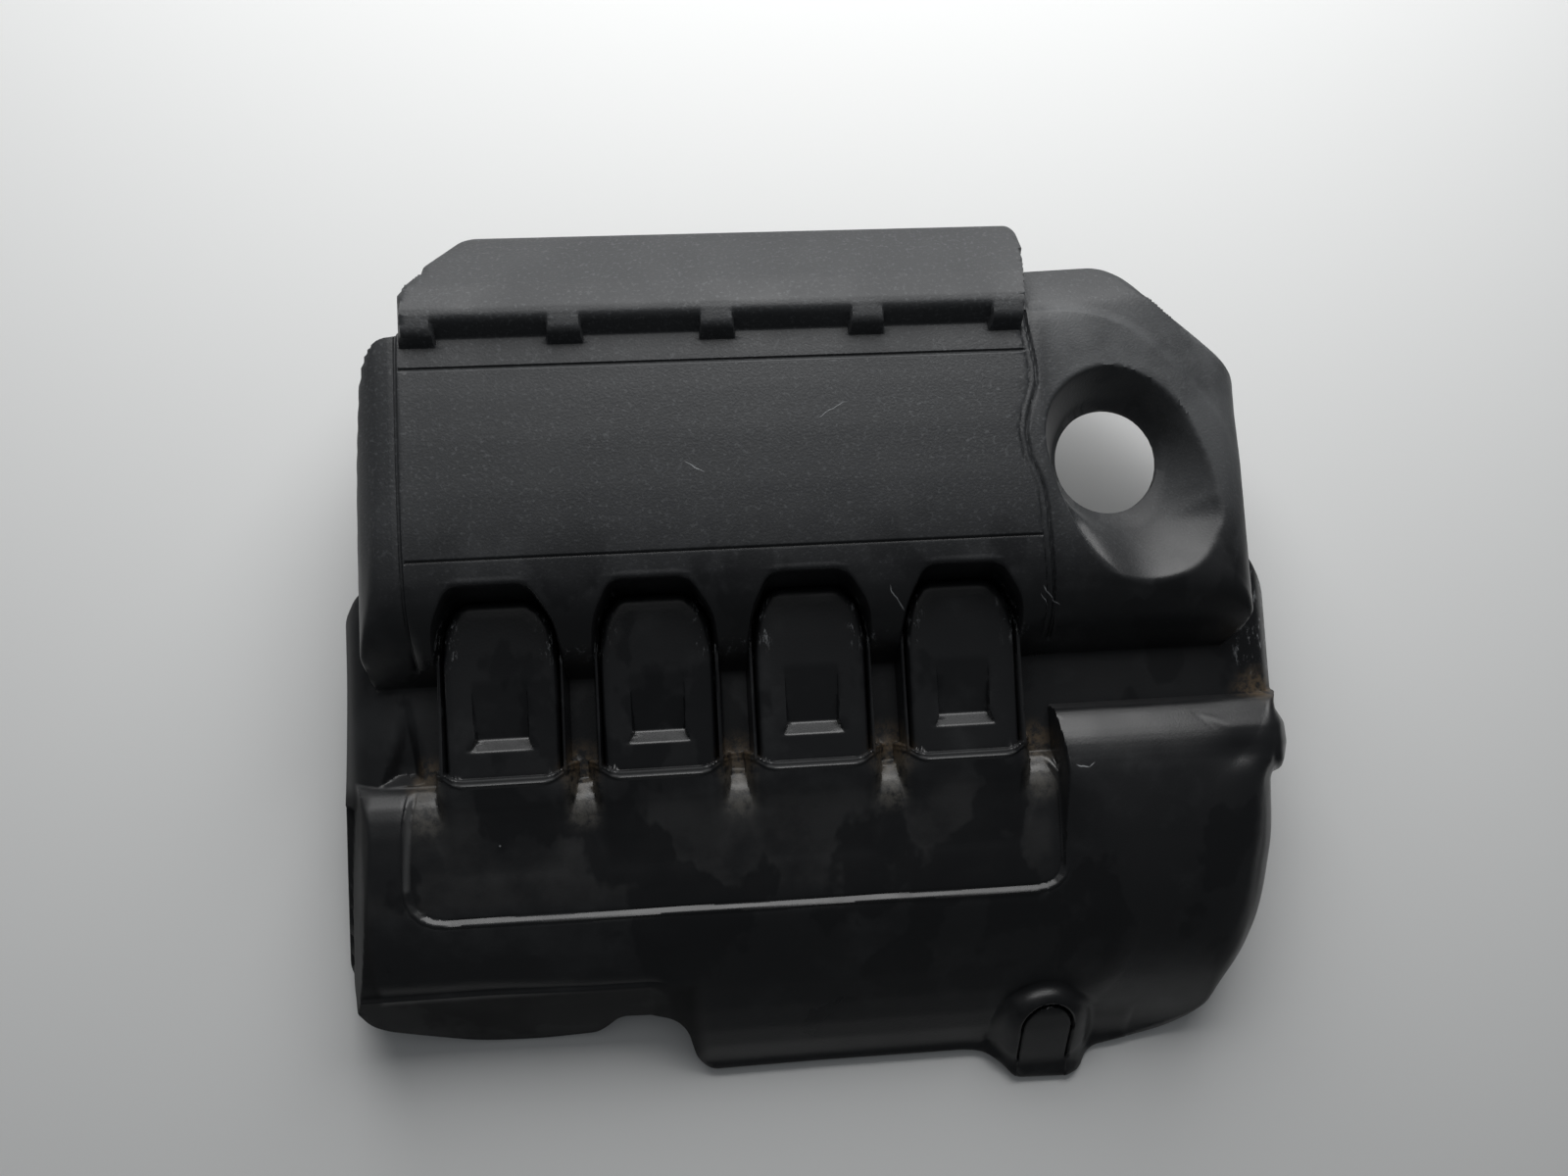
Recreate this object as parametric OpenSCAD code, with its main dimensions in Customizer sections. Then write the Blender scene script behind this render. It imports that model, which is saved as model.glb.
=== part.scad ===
// Engine cover: one moulded black plastic shell, clipped on four ball studs by rubber grommets.
// It lies face up. X runs across the engine, Y towards its rear and Z up from the lowest rim.

/* [Shell] */
// Wall thickness of the moulding
wall = 2.6; // [2.2:0.1:3]
// Height of the roof panel above the rim
roof_z = 113; // [108:0.5:118]
// Height of the valley between the roof and the front
valley_z = 62; // [58:0.5:66]
// Height of the front panel
front_z = 74; // [71:0.5:78]
// Height of the block at the right front
block_z = 90; // [84:0.5:95]
// Depth and width of the seams moulded into the roof
seam_depth = 1.2; // [0.8:0.1:1.6]
seam_w = 1.8; // [1.2:0.1:2.4]

/* [Roof] */
// Width of the roof panel between its side seams
panel_w = 354; // [346:1:362]
// Where the middle of the roof panel is across the cover
panel_x = -48; // [-52:1:-44]
// Foot of the roof's front slope
roof_foot_y = -1; // [-3:0.5:1]
// Width of the pod left of the panel
left_pod_w = 31; // [27:1:35]
// Width of the pod right of the panel
right_pod_w = 134; // [130:1:138]
// Seams that cross the panel
rear_seam_y = 175.5; // [172:0.5:178]
front_seam_y = 69.5; // [66:0.5:73]

/* [Rear flap] */
// Height of the flap's ridge above the roof panel
flap_rise = 7; // [5:0.5:9]
// Place of the flap's front lip
flap_lip_y = 191.5; // [190:0.5:194]
// Place and height of the flap's rear edge
flap_rear_y = 260; // [255:1:264]
flap_rear_z = 84; // [80:1:90]
// Tabs on the front lip: how many and how wide
tab_count = 5; // [3:1:5]
tab_w = 18; // [14:1:22]

/* [Pockets] */
// Distance between the four pockets, which is the cylinder spacing
pocket_pitch = 88; // [85:0.5:90]
// Half width of a tongue
tongue_w = 30.5; // [28.5:0.5:31.5]
// Thickness of the fins beside a tongue
fin_t = 1.8; // [1.4:0.1:2.2]
// Height of a tongue's rear end above the valley
tongue_rise = 22; // [19:0.5:24]
// Height of the cup's lip above the valley
cup_rise = 18.5; // [17:0.5:20]
// Width and depth of the wedge notch in a tongue
notch_w = 28; // [24:1:32]
notch_d = 6; // [4:0.5:7]

/* [Filler opening] */
// Radius of the hole that the filler neck shows through
hole_r = 31.5; // [30:0.5:33]
// Place of the hole
hole_x = 182.5; // [180:0.5:185]
hole_y = 116.5; // [114:0.5:119]
// Height of the funnel's floor
hole_z = 72; // [68:1:78]
// Radii of the round ends of the funnel's rim
funnel_r = 39; // [37:0.5:41]
funnel_low_r = 35; // [33:0.5:37]

/* [Front] */
// Depth of the panel recessed in the front
recess_d = 2.2; // [1.5:0.1:3]
// Height of the bead round that panel
bead_h = 1; // [0.6:0.1:1.4]
// Radius of the fixing boss and height of its rear edge
boss_r = 16; // [15:0.5:18]
boss_z = 41; // [38:0.5:44]
// Place of the boss
boss_x = 134.5; // [130:0.5:138]
boss_y = -224; // [-227:1:-222]
// Lower corners of the front edge
front_y = -239.5; // [-242:0.5:-237]
foot_y = -260; // [-263:0.5:-257]

/* [Underside] */
// Thickness and depth of the stiffening ribs
rib_t = 2; // [1.6:0.1:2.4]
rib_d = 12; // [8:1:14]
// Distance between the ribs that run from front to rear
rib_pitch = 60; // [50:1:66]
// Width of the grommet holders
holder_w = 32; // [30:1:34]
// Thickness of a holder's slotted plate
plate_t = 3.6; // [3:0.1:4]
// Height of the slotted plates
plate_z = 13; // [11:0.5:16]

/* [Grommets] */
// Radius of the grommet's flanges
grommet_r = 12; // [11:0.5:12.5]
// Radius of the waist that sits in the slotted plate
waist_r = 8.5; // [8:0.1:9]
// Height of a flange of the grommet
flange_h = 8; // [6:0.5:9]
// Radius and depth of the socket for the ball stud
socket_r = 5; // [4.5:0.1:5.5]
socket_h = 13; // [11:0.5:14]
// Gap between the waist and its plate
seat_gap = 0.2; // [0.1:0.05:0.3]

/* [Hidden] */
$fn = 48;

far = 400;
low = -20;
panel_l = panel_x - panel_w / 2;
panel_r = panel_x + panel_w / 2;
pod_l = panel_l - left_pod_w;
pod_r = panel_r + right_pod_w;
base_l = pod_l - 16;
base_r = pod_r + 21;
pockets = [for (i = [-1.5 : 1.5]) panel_x + 1 + i * pocket_pitch];
ridge_z = roof_z + flap_rise;
rear_tongue_z = valley_z + tongue_rise;
front_tongue_z = rear_tongue_z - 7;
cup_z = valley_z + cup_rise;
block_l = pockets[3] + 58;
tab_pitch = (panel_w - tab_w) / (tab_count - 1);
low_hole_x = hole_x + 22.5;
low_hole_y = hole_y - 37.5;

// Places of the four grommets, x and y
rear_left_at = [panel_l + 35, 140];
rear_right_at = [panel_r - 44, 140];
front_left_at = [panel_l + 20, -152];
front_right_at = [boss_x, boss_y + 12];
boss_gap = 2.5;

// A profile in the YZ plane, drawn out along X from x0 to x1
module along_x(points, x0 = -far, x1 = far, t = 0) {
    translate([x0, 0, 0])
        rotate([90, 0, 90])
            linear_extrude(x1 - x0)
                offset(delta = -t) polygon(points);
}

// A profile in the XZ plane, drawn out along Y from y0 to y1
module along_y(points, y0 = -far, y1 = far, t = 0) {
    translate([0, y1, 0])
        rotate([90, 0, 0])
            linear_extrude(y1 - y0)
                offset(delta = -t) polygon(points);
}

// A plan outline, drawn up from z0 to z1
module plan(points, z0 = low, z1 = far, t = 0) {
    translate([0, 0, z0])
        linear_extrude(z1 - z0)
            offset(delta = -t) polygon(points);
}

// Roof: crowned from front to rear, rounded at the left, falling to the right
module roof_form(t) {
    intersection() {
        along_x([
            [roof_foot_y - 4, low], [roof_foot_y - 4, valley_z - 14], [roof_foot_y, valley_z],
            [roof_foot_y + 10, valley_z + 8], [roof_foot_y + 22, roof_z - 27],
            [roof_foot_y + 30, roof_z - 17.5], [roof_foot_y + 36, roof_z - 12],
            [roof_foot_y + 46, roof_z - 7.5], [front_seam_y, roof_z - 4], [100, roof_z - 1],
            [140, roof_z], [rear_seam_y, roof_z - 1], [198, roof_z - 4], [228, roof_z - 19],
            [233, roof_z - 24], [236, low]
        ], t = t);
        along_y([
            [pod_l - 2, low], [pod_l - 2, 52], [pod_l, 82], [pod_l + 4, 94], [pod_l + 11, 103.5],
            [pod_l + 20, roof_z - 3.5], [panel_l, roof_z], [panel_l + 12, roof_z + 30],
            [panel_r - 12, roof_z + 30], [panel_r, roof_z], [panel_r + 6, roof_z - 2.5],
            [panel_r + 50, roof_z - 5.5], [pod_r - 28, roof_z - 12], [pod_r - 10, roof_z - 18],
            [pod_r - 3, roof_z - 26], [pod_r, roof_z - 36], [pod_r + 1, 50], [pod_r + 1, low]
        ], t = t);
        plan([
            [pod_l + 13, -20], [pod_l + 5, 6], [pod_l, 18], [pod_l - 1, 32], [pod_l + 4, 125],
            [pod_l + 6, 176], [pod_l + 10, 188], [pod_l + 18, 196], [panel_l, 198], [panel_l + 6, 216],
            [panel_r + 4, 228], [panel_r + 43, 231], [panel_r + 54, 227], [pod_r - 3, 160],
            [pod_r - 1, 156], [pod_r + 1, 60], [pod_r, 24], [pod_r - 6, 10], [pod_r - 20, 0],
            [pod_r - 24, -20]
        ], t = t);
    }
}

// Flap behind the roof: a rounded lip, a ridge and a long slope down to its rear edge
module flap_form(t) {
    intersection() {
        along_x([
            [flap_lip_y + 6, low], [flap_lip_y + 6, roof_z - 12], [flap_lip_y, roof_z - 4],
            [flap_lip_y + 2.5, roof_z], [flap_lip_y + 8.5, ridge_z - 1], [flap_lip_y + 12.5, ridge_z],
            [flap_lip_y + 16, ridge_z - 0.8], [flap_lip_y + 22, ridge_z - 4],
            [flap_lip_y + 38, ridge_z - 13.5], [flap_rear_y - 1, flap_rear_z + 1],
            [flap_rear_y, flap_rear_z - 1], [flap_rear_y, low]
        ], t = t);
        plan([
            [panel_l + 6, flap_lip_y - 5], [panel_l + 4, flap_rear_y - 41],
            [panel_l + 32, flap_rear_y - 3], [panel_l + 37, flap_rear_y + 5],
            [panel_r, flap_rear_y + 5], [panel_r + 3, flap_rear_y - 7],
            [panel_r - 4, flap_lip_y - 5]
        ], t = t);
    }
}

// Valley deck, with a narrow ledge along each side of the roof
module valley_form(t) {
    intersection() {
        along_y([
            [base_l - 12, low], [base_l - 3, 40], [base_l, 46], [base_l + 6, 52],
            [base_l + 18, valley_z - 2], [base_l + 30, valley_z], [base_r - 24, valley_z],
            [base_r - 9, 58], [base_r - 1, 50], [base_r, 44], [base_r, low]
        ], t = t);
        plan([
            [base_l - 3.5, -62], [base_l, 7], [base_l, 45], [base_l + 7, 57], [pod_l - 1, 62],
            [pod_l + 10, 66], [pod_r - 10, 70], [pod_r, 62], [pod_r + 9, 57], [base_r, 38],
            [base_r - 1.5, -40], [base_r - 1.5, -62]
        ], t = t);
    }
}

// Left side of the front, which leans out to the rim
module front_sides(t) {
    along_y([
        [base_l - 13, low], [base_l - 12, 4], [base_l - 4, 31], [base_l + 12, front_z - 6],
        [base_l + 14, front_z - 2.5], [base_l + 18, front_z], [base_l + 30, front_z + 30],
        [base_r, front_z + 30], [base_r, low]
    ], t = t);
}

// Front, right part: it slopes all the way down to the front edge
module front_right_form(t) {
    intersection() {
        along_x([
            [-34, low], [-36, valley_z - 8], [-50, valley_z + 1], [-62, front_z - 6],
            [-74, front_z - 1.5], [-86, front_z], [-131, front_z - 4], [-147, front_z - 9],
            [-166, 55], [-180, 47.5], [-195, 38.5], [-210, 28], [-222, 18.5], [-231.5, 10],
            [-235, 7.5], [front_y, 5.5], [front_y, low]
        ], t = t);
        plan([
            [-140, -20], [-92, -176], [-86, -186], [-83.5, -209], [-79, front_y + 10],
            [-72, front_y - 5], [200, front_y - 5], [200, -20]
        ], t = t);
        front_sides(t);
    }
}

// Front, left part: its slope ends early at a lip, above a lower skirt
module front_left_form(t) {
    intersection() {
        along_x([
            [-34, low], [-36, valley_z - 8], [-50, valley_z + 1], [-62, front_z - 6],
            [-74, front_z - 1.5], [-86, front_z], [-131, front_z - 4], [-147, front_z - 9],
            [-162, 57], [-169, 49.5], [-176, 48.5], [-180, 44], [-205, 10], [-213, 4],
            [-214, low]
        ], t = t);
        plan([
            [base_l - 2, -50], [base_l - 7.5, -109], [base_l - 12, -161], [base_l - 9, -168.5],
            [base_l - 2, -173.5], [base_l - 1, -180], [base_l + 4, -192], [base_l + 13, -197.5],
            [base_l + 63, -211.5], [base_l + 99, -213], [base_l + 133, -211],
            [base_l + 140, -206], [base_l + 148, -198], [base_l + 181, -200], [-60, -200],
            [-60, -20], [base_l - 2, -20]
        ], t = t);
        front_sides(t);
    }
}

// Right edge of the block where its shoulder starts, from the horn round to the front
block_edge = [
    [base_r - 6, -36, 54], [base_r - 9, -75, 50], [base_r - 9, -106, 45],
    [base_r - 12.5, -143, 36], [base_r - 17, -164, 29], [base_r - 25, -184, 23],
    [base_r - 36, -206, 12], [base_r - 43, -219, 8], [base_r - 52, -227, 6],
    [base_r - 70, -234, 4], [base_r - 91, -238, 4], [base_r - 119, -244, 3]
];

// Left edge of the block, from the front to the rear: it rises out of the front panel
block_rise = [
    [block_l, -222, 19], [block_l, -205, 32], [block_l, -180, 48.5], [block_l, -150, 63.5],
    [block_l, -118, 72.5], [block_l, -62, block_z - 2]
];

// Block at the right front, which stands over the belt drive: a crown with a rounded shoulder
module block_form(t) {
    intersection() {
        along_x([
            [-25, low], [-25, valley_z + 2], [-28, block_z - 16], [-32, block_z - 7],
            [-37, block_z - 2], [-43, block_z], [-82, block_z - 1.5], [-112, block_z - 5],
            [-132, block_z - 10], [-152, block_z - 18], [-172, block_z - 28],
            [-192, block_z - 43], [-212, block_z - 67], [-228, 9], [-245, 3], [-245, low]
        ], t = t);
        along_y([
            [block_l - 1, low], [block_l, valley_z + 3], [block_l + 2, block_z - 7],
            [block_l + 5, block_z - 2], [block_l + 10, block_z + 5], [base_r, block_z + 5],
            [base_r, low]
        ], t = t);
        intersection_for(i = [0 : len(block_edge) - 2])
            edge_body(block_edge[i], block_edge[i + 1], shoulder, t);
        intersection_for(i = [0 : len(block_rise) - 2])
            edge_body(block_rise[i], block_rise[i + 1], slow_rise, t);
    }
}

// Profiles inwards from an edge: a rounded shoulder, and a slow rise
shoulder = [
    [0, -far], [0, 0], [-5, 8], [-12, 18], [-20, 27], [-28, 34], [-36, 38.5], [-46, 41],
    [-90, 70], [-far, far], [-far, -far]
];
slow_rise = [
    [0, -far], [0, 0], [-10, 3.5], [-30, 10], [-60, 19], [-far, far], [-far, -far]
];

// Body under a profile that is drawn along the line from a to b
module edge_body(a, b, points, t) {
    run = b - a;
    translate(a)
        rotate([0, atan2(-run[2], norm([run[0], run[1]])), atan2(run[1], run[0])])
            along_x(points, -far, far, t);
}

// Rounded horn that carries the block's rear edge out past the side
module horn_form(t) {
    intersection() {
        along_x([
            [-28, low], [-28, 56], [-31, valley_z + 6], [-36, 78], [-43, block_z - 4],
            [-52, block_z - 2], [-60, block_z - 5], [-67, 78], [-71, 68], [-73, 54], [-73, low]
        ], base_r - 60, base_r + 10, t = t);
        along_y([
            [base_r - 70, low], [base_r - 70, block_z + 8], [base_r - 44, block_z],
            [base_r - 26, block_z - 4], [base_r - 14, block_z - 9], [base_r - 6, block_z - 18],
            [base_r - 2, block_z - 30], [base_r - 2, low]
        ], t = t);
    }
}

// Foot in front of the boss
module foot_form(t) {
    intersection() {
        along_x([
            [foot_y + 35, low], [foot_y + 35, 8], [foot_y + 27, 9.5], [foot_y + 16, 9],
            [foot_y + 12, 7.5], [foot_y + 1.5, 4], [foot_y, 2.5], [foot_y, low]
        ], t = t);
        plan([
            [boss_x - 30, foot_y + 34], [boss_x - 25, foot_y + 18], [boss_x - 18, foot_y - 2],
            [boss_x + 17, foot_y - 3], [boss_x + 27, foot_y + 9], [boss_x + 32, foot_y + 15],
            [boss_x + 40, foot_y + 21], [boss_x + 42, foot_y + 34]
        ], t = t);
    }
}

// Recess that a tongue runs out of, with a sloping wall at its rear
module pocket_cut(x, t) {
    intersection() {
        translate([x, 0, 0])
            plan([
                [-40, -30], [-37, 8], [-31, 36], [-22, 58], [22, 58], [31, 36], [37, 8], [40, -30]
            ], t = -t);
        along_x([
            [-60, valley_z + 0.5], [36, valley_z + 0.5], [46, valley_z + 14], [58, roof_z - 6],
            [61, roof_z + 30], [-60, roof_z + 30]
        ], t = -t);
    }
}

// Tongue: a crowned bridge from the recess over the valley to the cup
module tongue_form(x, t) {
    intersection() {
        along_x([
            [-54, low], [-54, front_tongue_z], [-36, front_tongue_z + 1.5],
            [0, rear_tongue_z - 3], [28, rear_tongue_z - 0.5], [42, rear_tongue_z - 0.5],
            [46, rear_tongue_z - 3], [49, rear_tongue_z - 12], [50, low]
        ], t = t);
        translate([x, 0, 0])
            along_y([
                [-tongue_w - 1, low], [-tongue_w, valley_z + 1], [-tongue_w + 1, rear_tongue_z - 9],
                [-tongue_w + 4, rear_tongue_z - 3], [-tongue_w + 10, rear_tongue_z],
                [tongue_w - 10, rear_tongue_z], [tongue_w - 4, rear_tongue_z - 3],
                [tongue_w - 1, rear_tongue_z - 9], [tongue_w, valley_z + 1], [tongue_w + 1, low]
            ], t = t);
        translate([x, 0, 0])
            plan([
                [-tongue_w - 2, -60], [-tongue_w - 2, 24], [-tongue_w + 2, 35],
                [-tongue_w + 11, 51], [tongue_w - 11, 51], [tongue_w - 2, 35],
                [tongue_w + 2, 24], [tongue_w + 2, -60]
            ], t = t);
    }
}

// Thin fins along both sides of a tongue, up from the valley
module fins(x) {
    for (side = [-1, 1])
        translate([x + side * (tongue_w + 3) - fin_t / 2, 0, 0])
            along_x([
                [-44, valley_z - 1.5], [-44, cup_z - 2.5], [-9, cup_z - 4], [-5, valley_z + 8],
                [-2, valley_z - 1.5]
            ], 0, fin_t);
}

// Wedge notch in a tongue, closed in front by a short ramp
module notch_cut(x, t) {
    translate([x, 0, 0])
        along_x([
            [6, rear_tongue_z - 1.8], [-28.7, front_tongue_z + 1.5 - notch_d],
            [-36, front_tongue_z + 2], [-36, roof_z], [6, roof_z]
        ], -notch_w / 2 - t, notch_w / 2 + t, t = -t);
}

// Cup: a raised lip across the tongue's end, with a barrel in front of it
module cup_form(x, t) {
    intersection() {
        along_x([
            [-41, low], [-41, cup_z - 0.5], [-51, cup_z], [-58, cup_z - 0.8],
            [-72, front_z + 2.5], [-88, front_z - 2], [-94, front_z - 5], [-94, low]
        ], t = t);
        translate([x, 0, 0])
            along_y([
                [-39, low], [-38.5, cup_z - 5], [-37, cup_z - 1.5], [-31, cup_z + 1],
                [31, cup_z + 1], [37, cup_z - 1.5], [38.5, cup_z - 5], [39, low]
            ], t = t);
        translate([x, 0, 0])
            plan([
                [-38.5, -43], [-29, -47.5], [29, -47.5], [38.5, -43], [38, -66], [34, -84],
                [27, -101], [-27, -101], [-34, -84], [-38, -66]
            ], t = t);
    }
}

// Funnel down to the filler hole: one steep end and one long sloping end, bulging between them
module funnel_cut(t) {
    hull() {
        translate([hole_x, hole_y, hole_z - t]) cylinder(r = hole_r + 2 + t, h = 1);
        translate([hole_x - 6.5, hole_y + 10.5, roof_z - 6]) cylinder(r = funnel_r + t, h = 20);
        translate([hole_x + 10, hole_y + 5, roof_z - 8]) cylinder(r = funnel_r - 4 + t, h = 22);
        translate([low_hole_x, low_hole_y, roof_z - 12]) cylinder(r = funnel_low_r + t, h = 26);
        translate([hole_x + 4, hole_y - 39, roof_z - 10]) cylinder(r = funnel_low_r + t, h = 24);
    }
}

recess_outline = [
    [panel_l - 5.5, -56], [panel_l - 6.5, -95], [panel_l - 3.5, -112], [panel_l + 5, -123],
    [panel_l + 17, -129.5], [panel_l + 30, -131], [block_l - 29, -129.5],
    [block_l - 14, -126], [block_l - 7, -119], [block_l - 4.5, -107], [block_l - 4.5, -74],
    [block_l - 6, -56]
];

// Panel recessed in the front, open towards the valley
module recess_cut(t) {
    difference() {
        plan(recess_outline, t = -t);
        front_bed(t + recess_d);
    }
}

// Raised bead round that panel
module bead_form(t) {
    intersection() {
        plan(recess_outline, t = t - 2.8);
        front_bed(t - bead_h);
        translate([-far, -140, low]) cube([2 * far, 82 - t, far]);
    }
}

// Front surface without its ends, which the recess follows
module front_bed(t) {
    along_x([
        [-20, low], [-20, valley_z - 2], [-48, valley_z - 2], [-62, front_z - 6],
        [-74, front_z - 1.5], [-86, front_z], [-131, front_z - 4], [-147, front_z - 9],
        [-160, front_z - 16], [-160, low]
    ], t = t);
}

// Slope of the boss's pad, from its rear edge down to the foot
module pad_bed(t) {
    along_x([
        [boss_y + 34, low], [boss_y + 34, boss_z + 4], [boss_y + 18, boss_z],
        [boss_y + 12, boss_z - 3.5], [boss_y, boss_z - 12.5], [boss_y - 12, boss_z - 22],
        [boss_y - 22, 11], [boss_y - 26, 8], [foot_y + 0.5, 3], [foot_y, low]
    ], t = t);
}

// Narrow gap round the boss, open to the front
module boss_well(t) {
    difference() {
        translate([boss_x, boss_y, low]) cylinder(r = boss_r + boss_gap + t, h = far);
        pad_bed(t + 5);
    }
}

module boss_form(t) {
    intersection() {
        pad_bed(t);
        translate([boss_x, boss_y, low]) {
            cylinder(r = boss_r - t, h = far);
            translate([t - boss_r, -far, 0]) cube([2 * (boss_r - t), far, far]);
        }
    }
}

// Collar that rises behind the boss
module collar_form(t) {
    translate([boss_x, boss_y, low])
        intersection() {
            cylinder(r1 = boss_r + 43 - t, r2 = boss_r + boss_gap + 0.5 - t, h = boss_z - low - t);
            translate([-far, t - 6, 0]) cube([2 * far, far, far]);
        }
}

// Filled outer form of the cover, drawn in by t on every side
module cover_form(t) {
    difference() {
        union() {
            roof_form(t);
            flap_form(t);
            valley_form(t);
            front_left_form(t);
            difference() {
                union() {
                    front_right_form(t);
                    block_form(t);
                    collar_form(t);
                }
                boss_well(t);
            }
            horn_form(t);
            foot_form(t);
            bead_form(t);
        }
        for (x = pockets) pocket_cut(x, t);
        recess_cut(t);
        funnel_cut(t);
    }
    boss_form(t);
    difference() {
        union() for (x = pockets) {
            tongue_form(x, t);
            cup_form(x, t);
        }
        for (x = pockets) notch_cut(x, t);
    }
}

// Space under the rim, which climbs from the front skirt to the rear edge
module rim_cut() {
    along_x([
        [-far, low - 1], [-far, 0], [-165, 0], [-60, 34], [62, 40], [195, 58], [230, 64],
        [flap_rear_y + 1, flap_rear_z - 3], [far, flap_rear_z - 3], [far, low - 1]
    ]);
}

// Seams moulded into the roof, all of one depth; the right one waves round the funnel
module seams() {
    s = seam_w / 2;
    wave = [
        [panel_r + 9, 20], [panel_r + 7, 41], [panel_r + 5, 70], [panel_r + 4.5, 82],
        [panel_r + 3.2, 95], [panel_r, 104], [panel_r - 3.7, 113], [panel_r - 5.4, 127],
        [panel_r - 4.2, 135], [panel_r - 2.5, 142], [panel_r + 0.5, 149], [panel_r + 2.2, 155],
        [panel_r + 2.8, 163], [panel_r + 1.5, 175], [panel_r - 0.6, 192], [panel_r - 0.8, 204]
    ];
    difference() {
        union() {
            for (y = [front_seam_y, rear_seam_y])
                translate([panel_l + 3, y - s, roof_z - 20])
                    cube([panel_w - 3, seam_w, 40]);
            plan([
                [panel_l - s, 20], [panel_l + s, 20], [panel_l + s, 199], [panel_l - s, 199]
            ], roof_z - 40, roof_z + 20);
            plan([
                for (p = wave) [p[0] - s, p[1]],
                for (i = [len(wave) - 1 : -1 : 0]) [wave[i][0] + s, wave[i][1]]
            ], roof_z - 40, roof_z + 20);
        }
        roof_form(seam_depth);
    }
}

// Tabs along the front lip of the flap
module tabs() {
    for (i = [0 : tab_count - 1])
        translate([panel_x + (i - (tab_count - 1) / 2) * tab_pitch, 0, 0])
            along_x([
                [flap_lip_y - 4.2, roof_z - 3], [flap_lip_y - 2.5, roof_z + 1],
                [flap_lip_y + 1.5, ridge_z - 1.2], [flap_lip_y + 5, ridge_z - 0.4],
                [flap_lip_y + 12, ridge_z - 0.5], [flap_lip_y + 12, ridge_z - 2.5],
                [flap_lip_y + 2, roof_z - 4]
            ], -tab_w / 2, tab_w / 2);
}

// Ribs under the roof panel, cut to follow it
module ribs() {
    intersection() {
        union() {
            for (x = [panel_l + rib_pitch / 2 : rib_pitch : panel_r - rib_pitch / 3])
                translate([x, front_seam_y + 2, roof_z - rib_d])
                    cube([rib_t, flap_lip_y - front_seam_y - 6, rib_d]);
            for (i = [0 : 2])
                translate([panel_l - 12, front_seam_y + 22 + i * 0.7 * rib_pitch, roof_z - rib_d])
                    cube([panel_w - 6, rib_t, rib_d]);
        }
        roof_form(wall / 2);
    }
}

// Grommet holder: three walls hung from the skin and a plate with an open slot
module holder(at, top) {
    w = holder_w / 2;
    translate([at[0], at[1], 0]) {
        difference() {
            translate([-w, -w, 0]) cube([holder_w, holder_w, top]);
            translate([-w + rib_t, -w + rib_t, -1]) cube([holder_w - 2 * rib_t, holder_w, top + 2]);
        }
        difference() {
            translate([-w + 1, -w + 1, plate_z]) cube([holder_w - 2, holder_w - 1, plate_t]);
            translate([-waist_r - seat_gap, -waist_r - seat_gap, plate_z - 1])
                cube([2 * (waist_r + seat_gap), holder_w, plate_t + 2]);
        }
    }
}

module holders() {
    intersection() {
        union() {
            holder(rear_left_at, roof_z);
            holder(rear_right_at, roof_z);
        }
        roof_form(wall / 2);
    }
    intersection() {
        holder(front_left_at, front_z);
        front_left_form(wall / 2);
    }
    intersection() {
        holder(front_right_at, boss_z + 8);
        union() {
            difference() {
                union() {
                    front_right_form(wall / 2);
                    collar_form(wall / 2);
                }
                boss_well(wall / 2);
            }
            boss_form(wall / 2);
        }
    }
}

module cover_shell() {
    color("#1c1d1e") {
        difference() {
            cover_form(0);
            cover_form(wall);
            rim_cut();
            seams();
            translate([hole_x, hole_y, low]) cylinder(r = hole_r, h = far);
        }
        tabs();
        for (x = pockets) fins(x);
        ribs();
        holders();
    }
}

// Rubber grommet: two flanges, a waist between them and a socket open downwards
module grommet(at) {
    waist_h = plate_t + 2 * seat_gap;
    foot_z = plate_z - seat_gap - flange_h;
    top_z = foot_z + 2 * flange_h + waist_h;
    color("#26272a")
        translate([at[0], at[1], 0])
            rotate_extrude()
                polygon([
                    [socket_r + 1.5, foot_z], [grommet_r - 1, foot_z], [grommet_r, foot_z + 1],
                    [grommet_r, foot_z + flange_h], [waist_r, foot_z + flange_h],
                    [waist_r, top_z - flange_h], [grommet_r, top_z - flange_h],
                    [grommet_r - 2, top_z], [0, top_z], [0, foot_z + socket_h + 3],
                    [socket_r * 0.6, foot_z + socket_h + 2], [socket_r, foot_z + socket_h],
                    [socket_r, foot_z + 1.5]
                ]);
}

module grommet_rear_left() { grommet(rear_left_at); }
module grommet_rear_right() { grommet(rear_right_at); }
module grommet_front_left() { grommet(front_left_at); }
module grommet_front_right() { grommet(front_right_at); }

cover_shell();
grommet_rear_left();
grommet_rear_right();
grommet_front_left();
grommet_front_right();
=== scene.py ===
import math

import bmesh
import bpy
import numpy as np
from mathutils import Matrix


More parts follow.
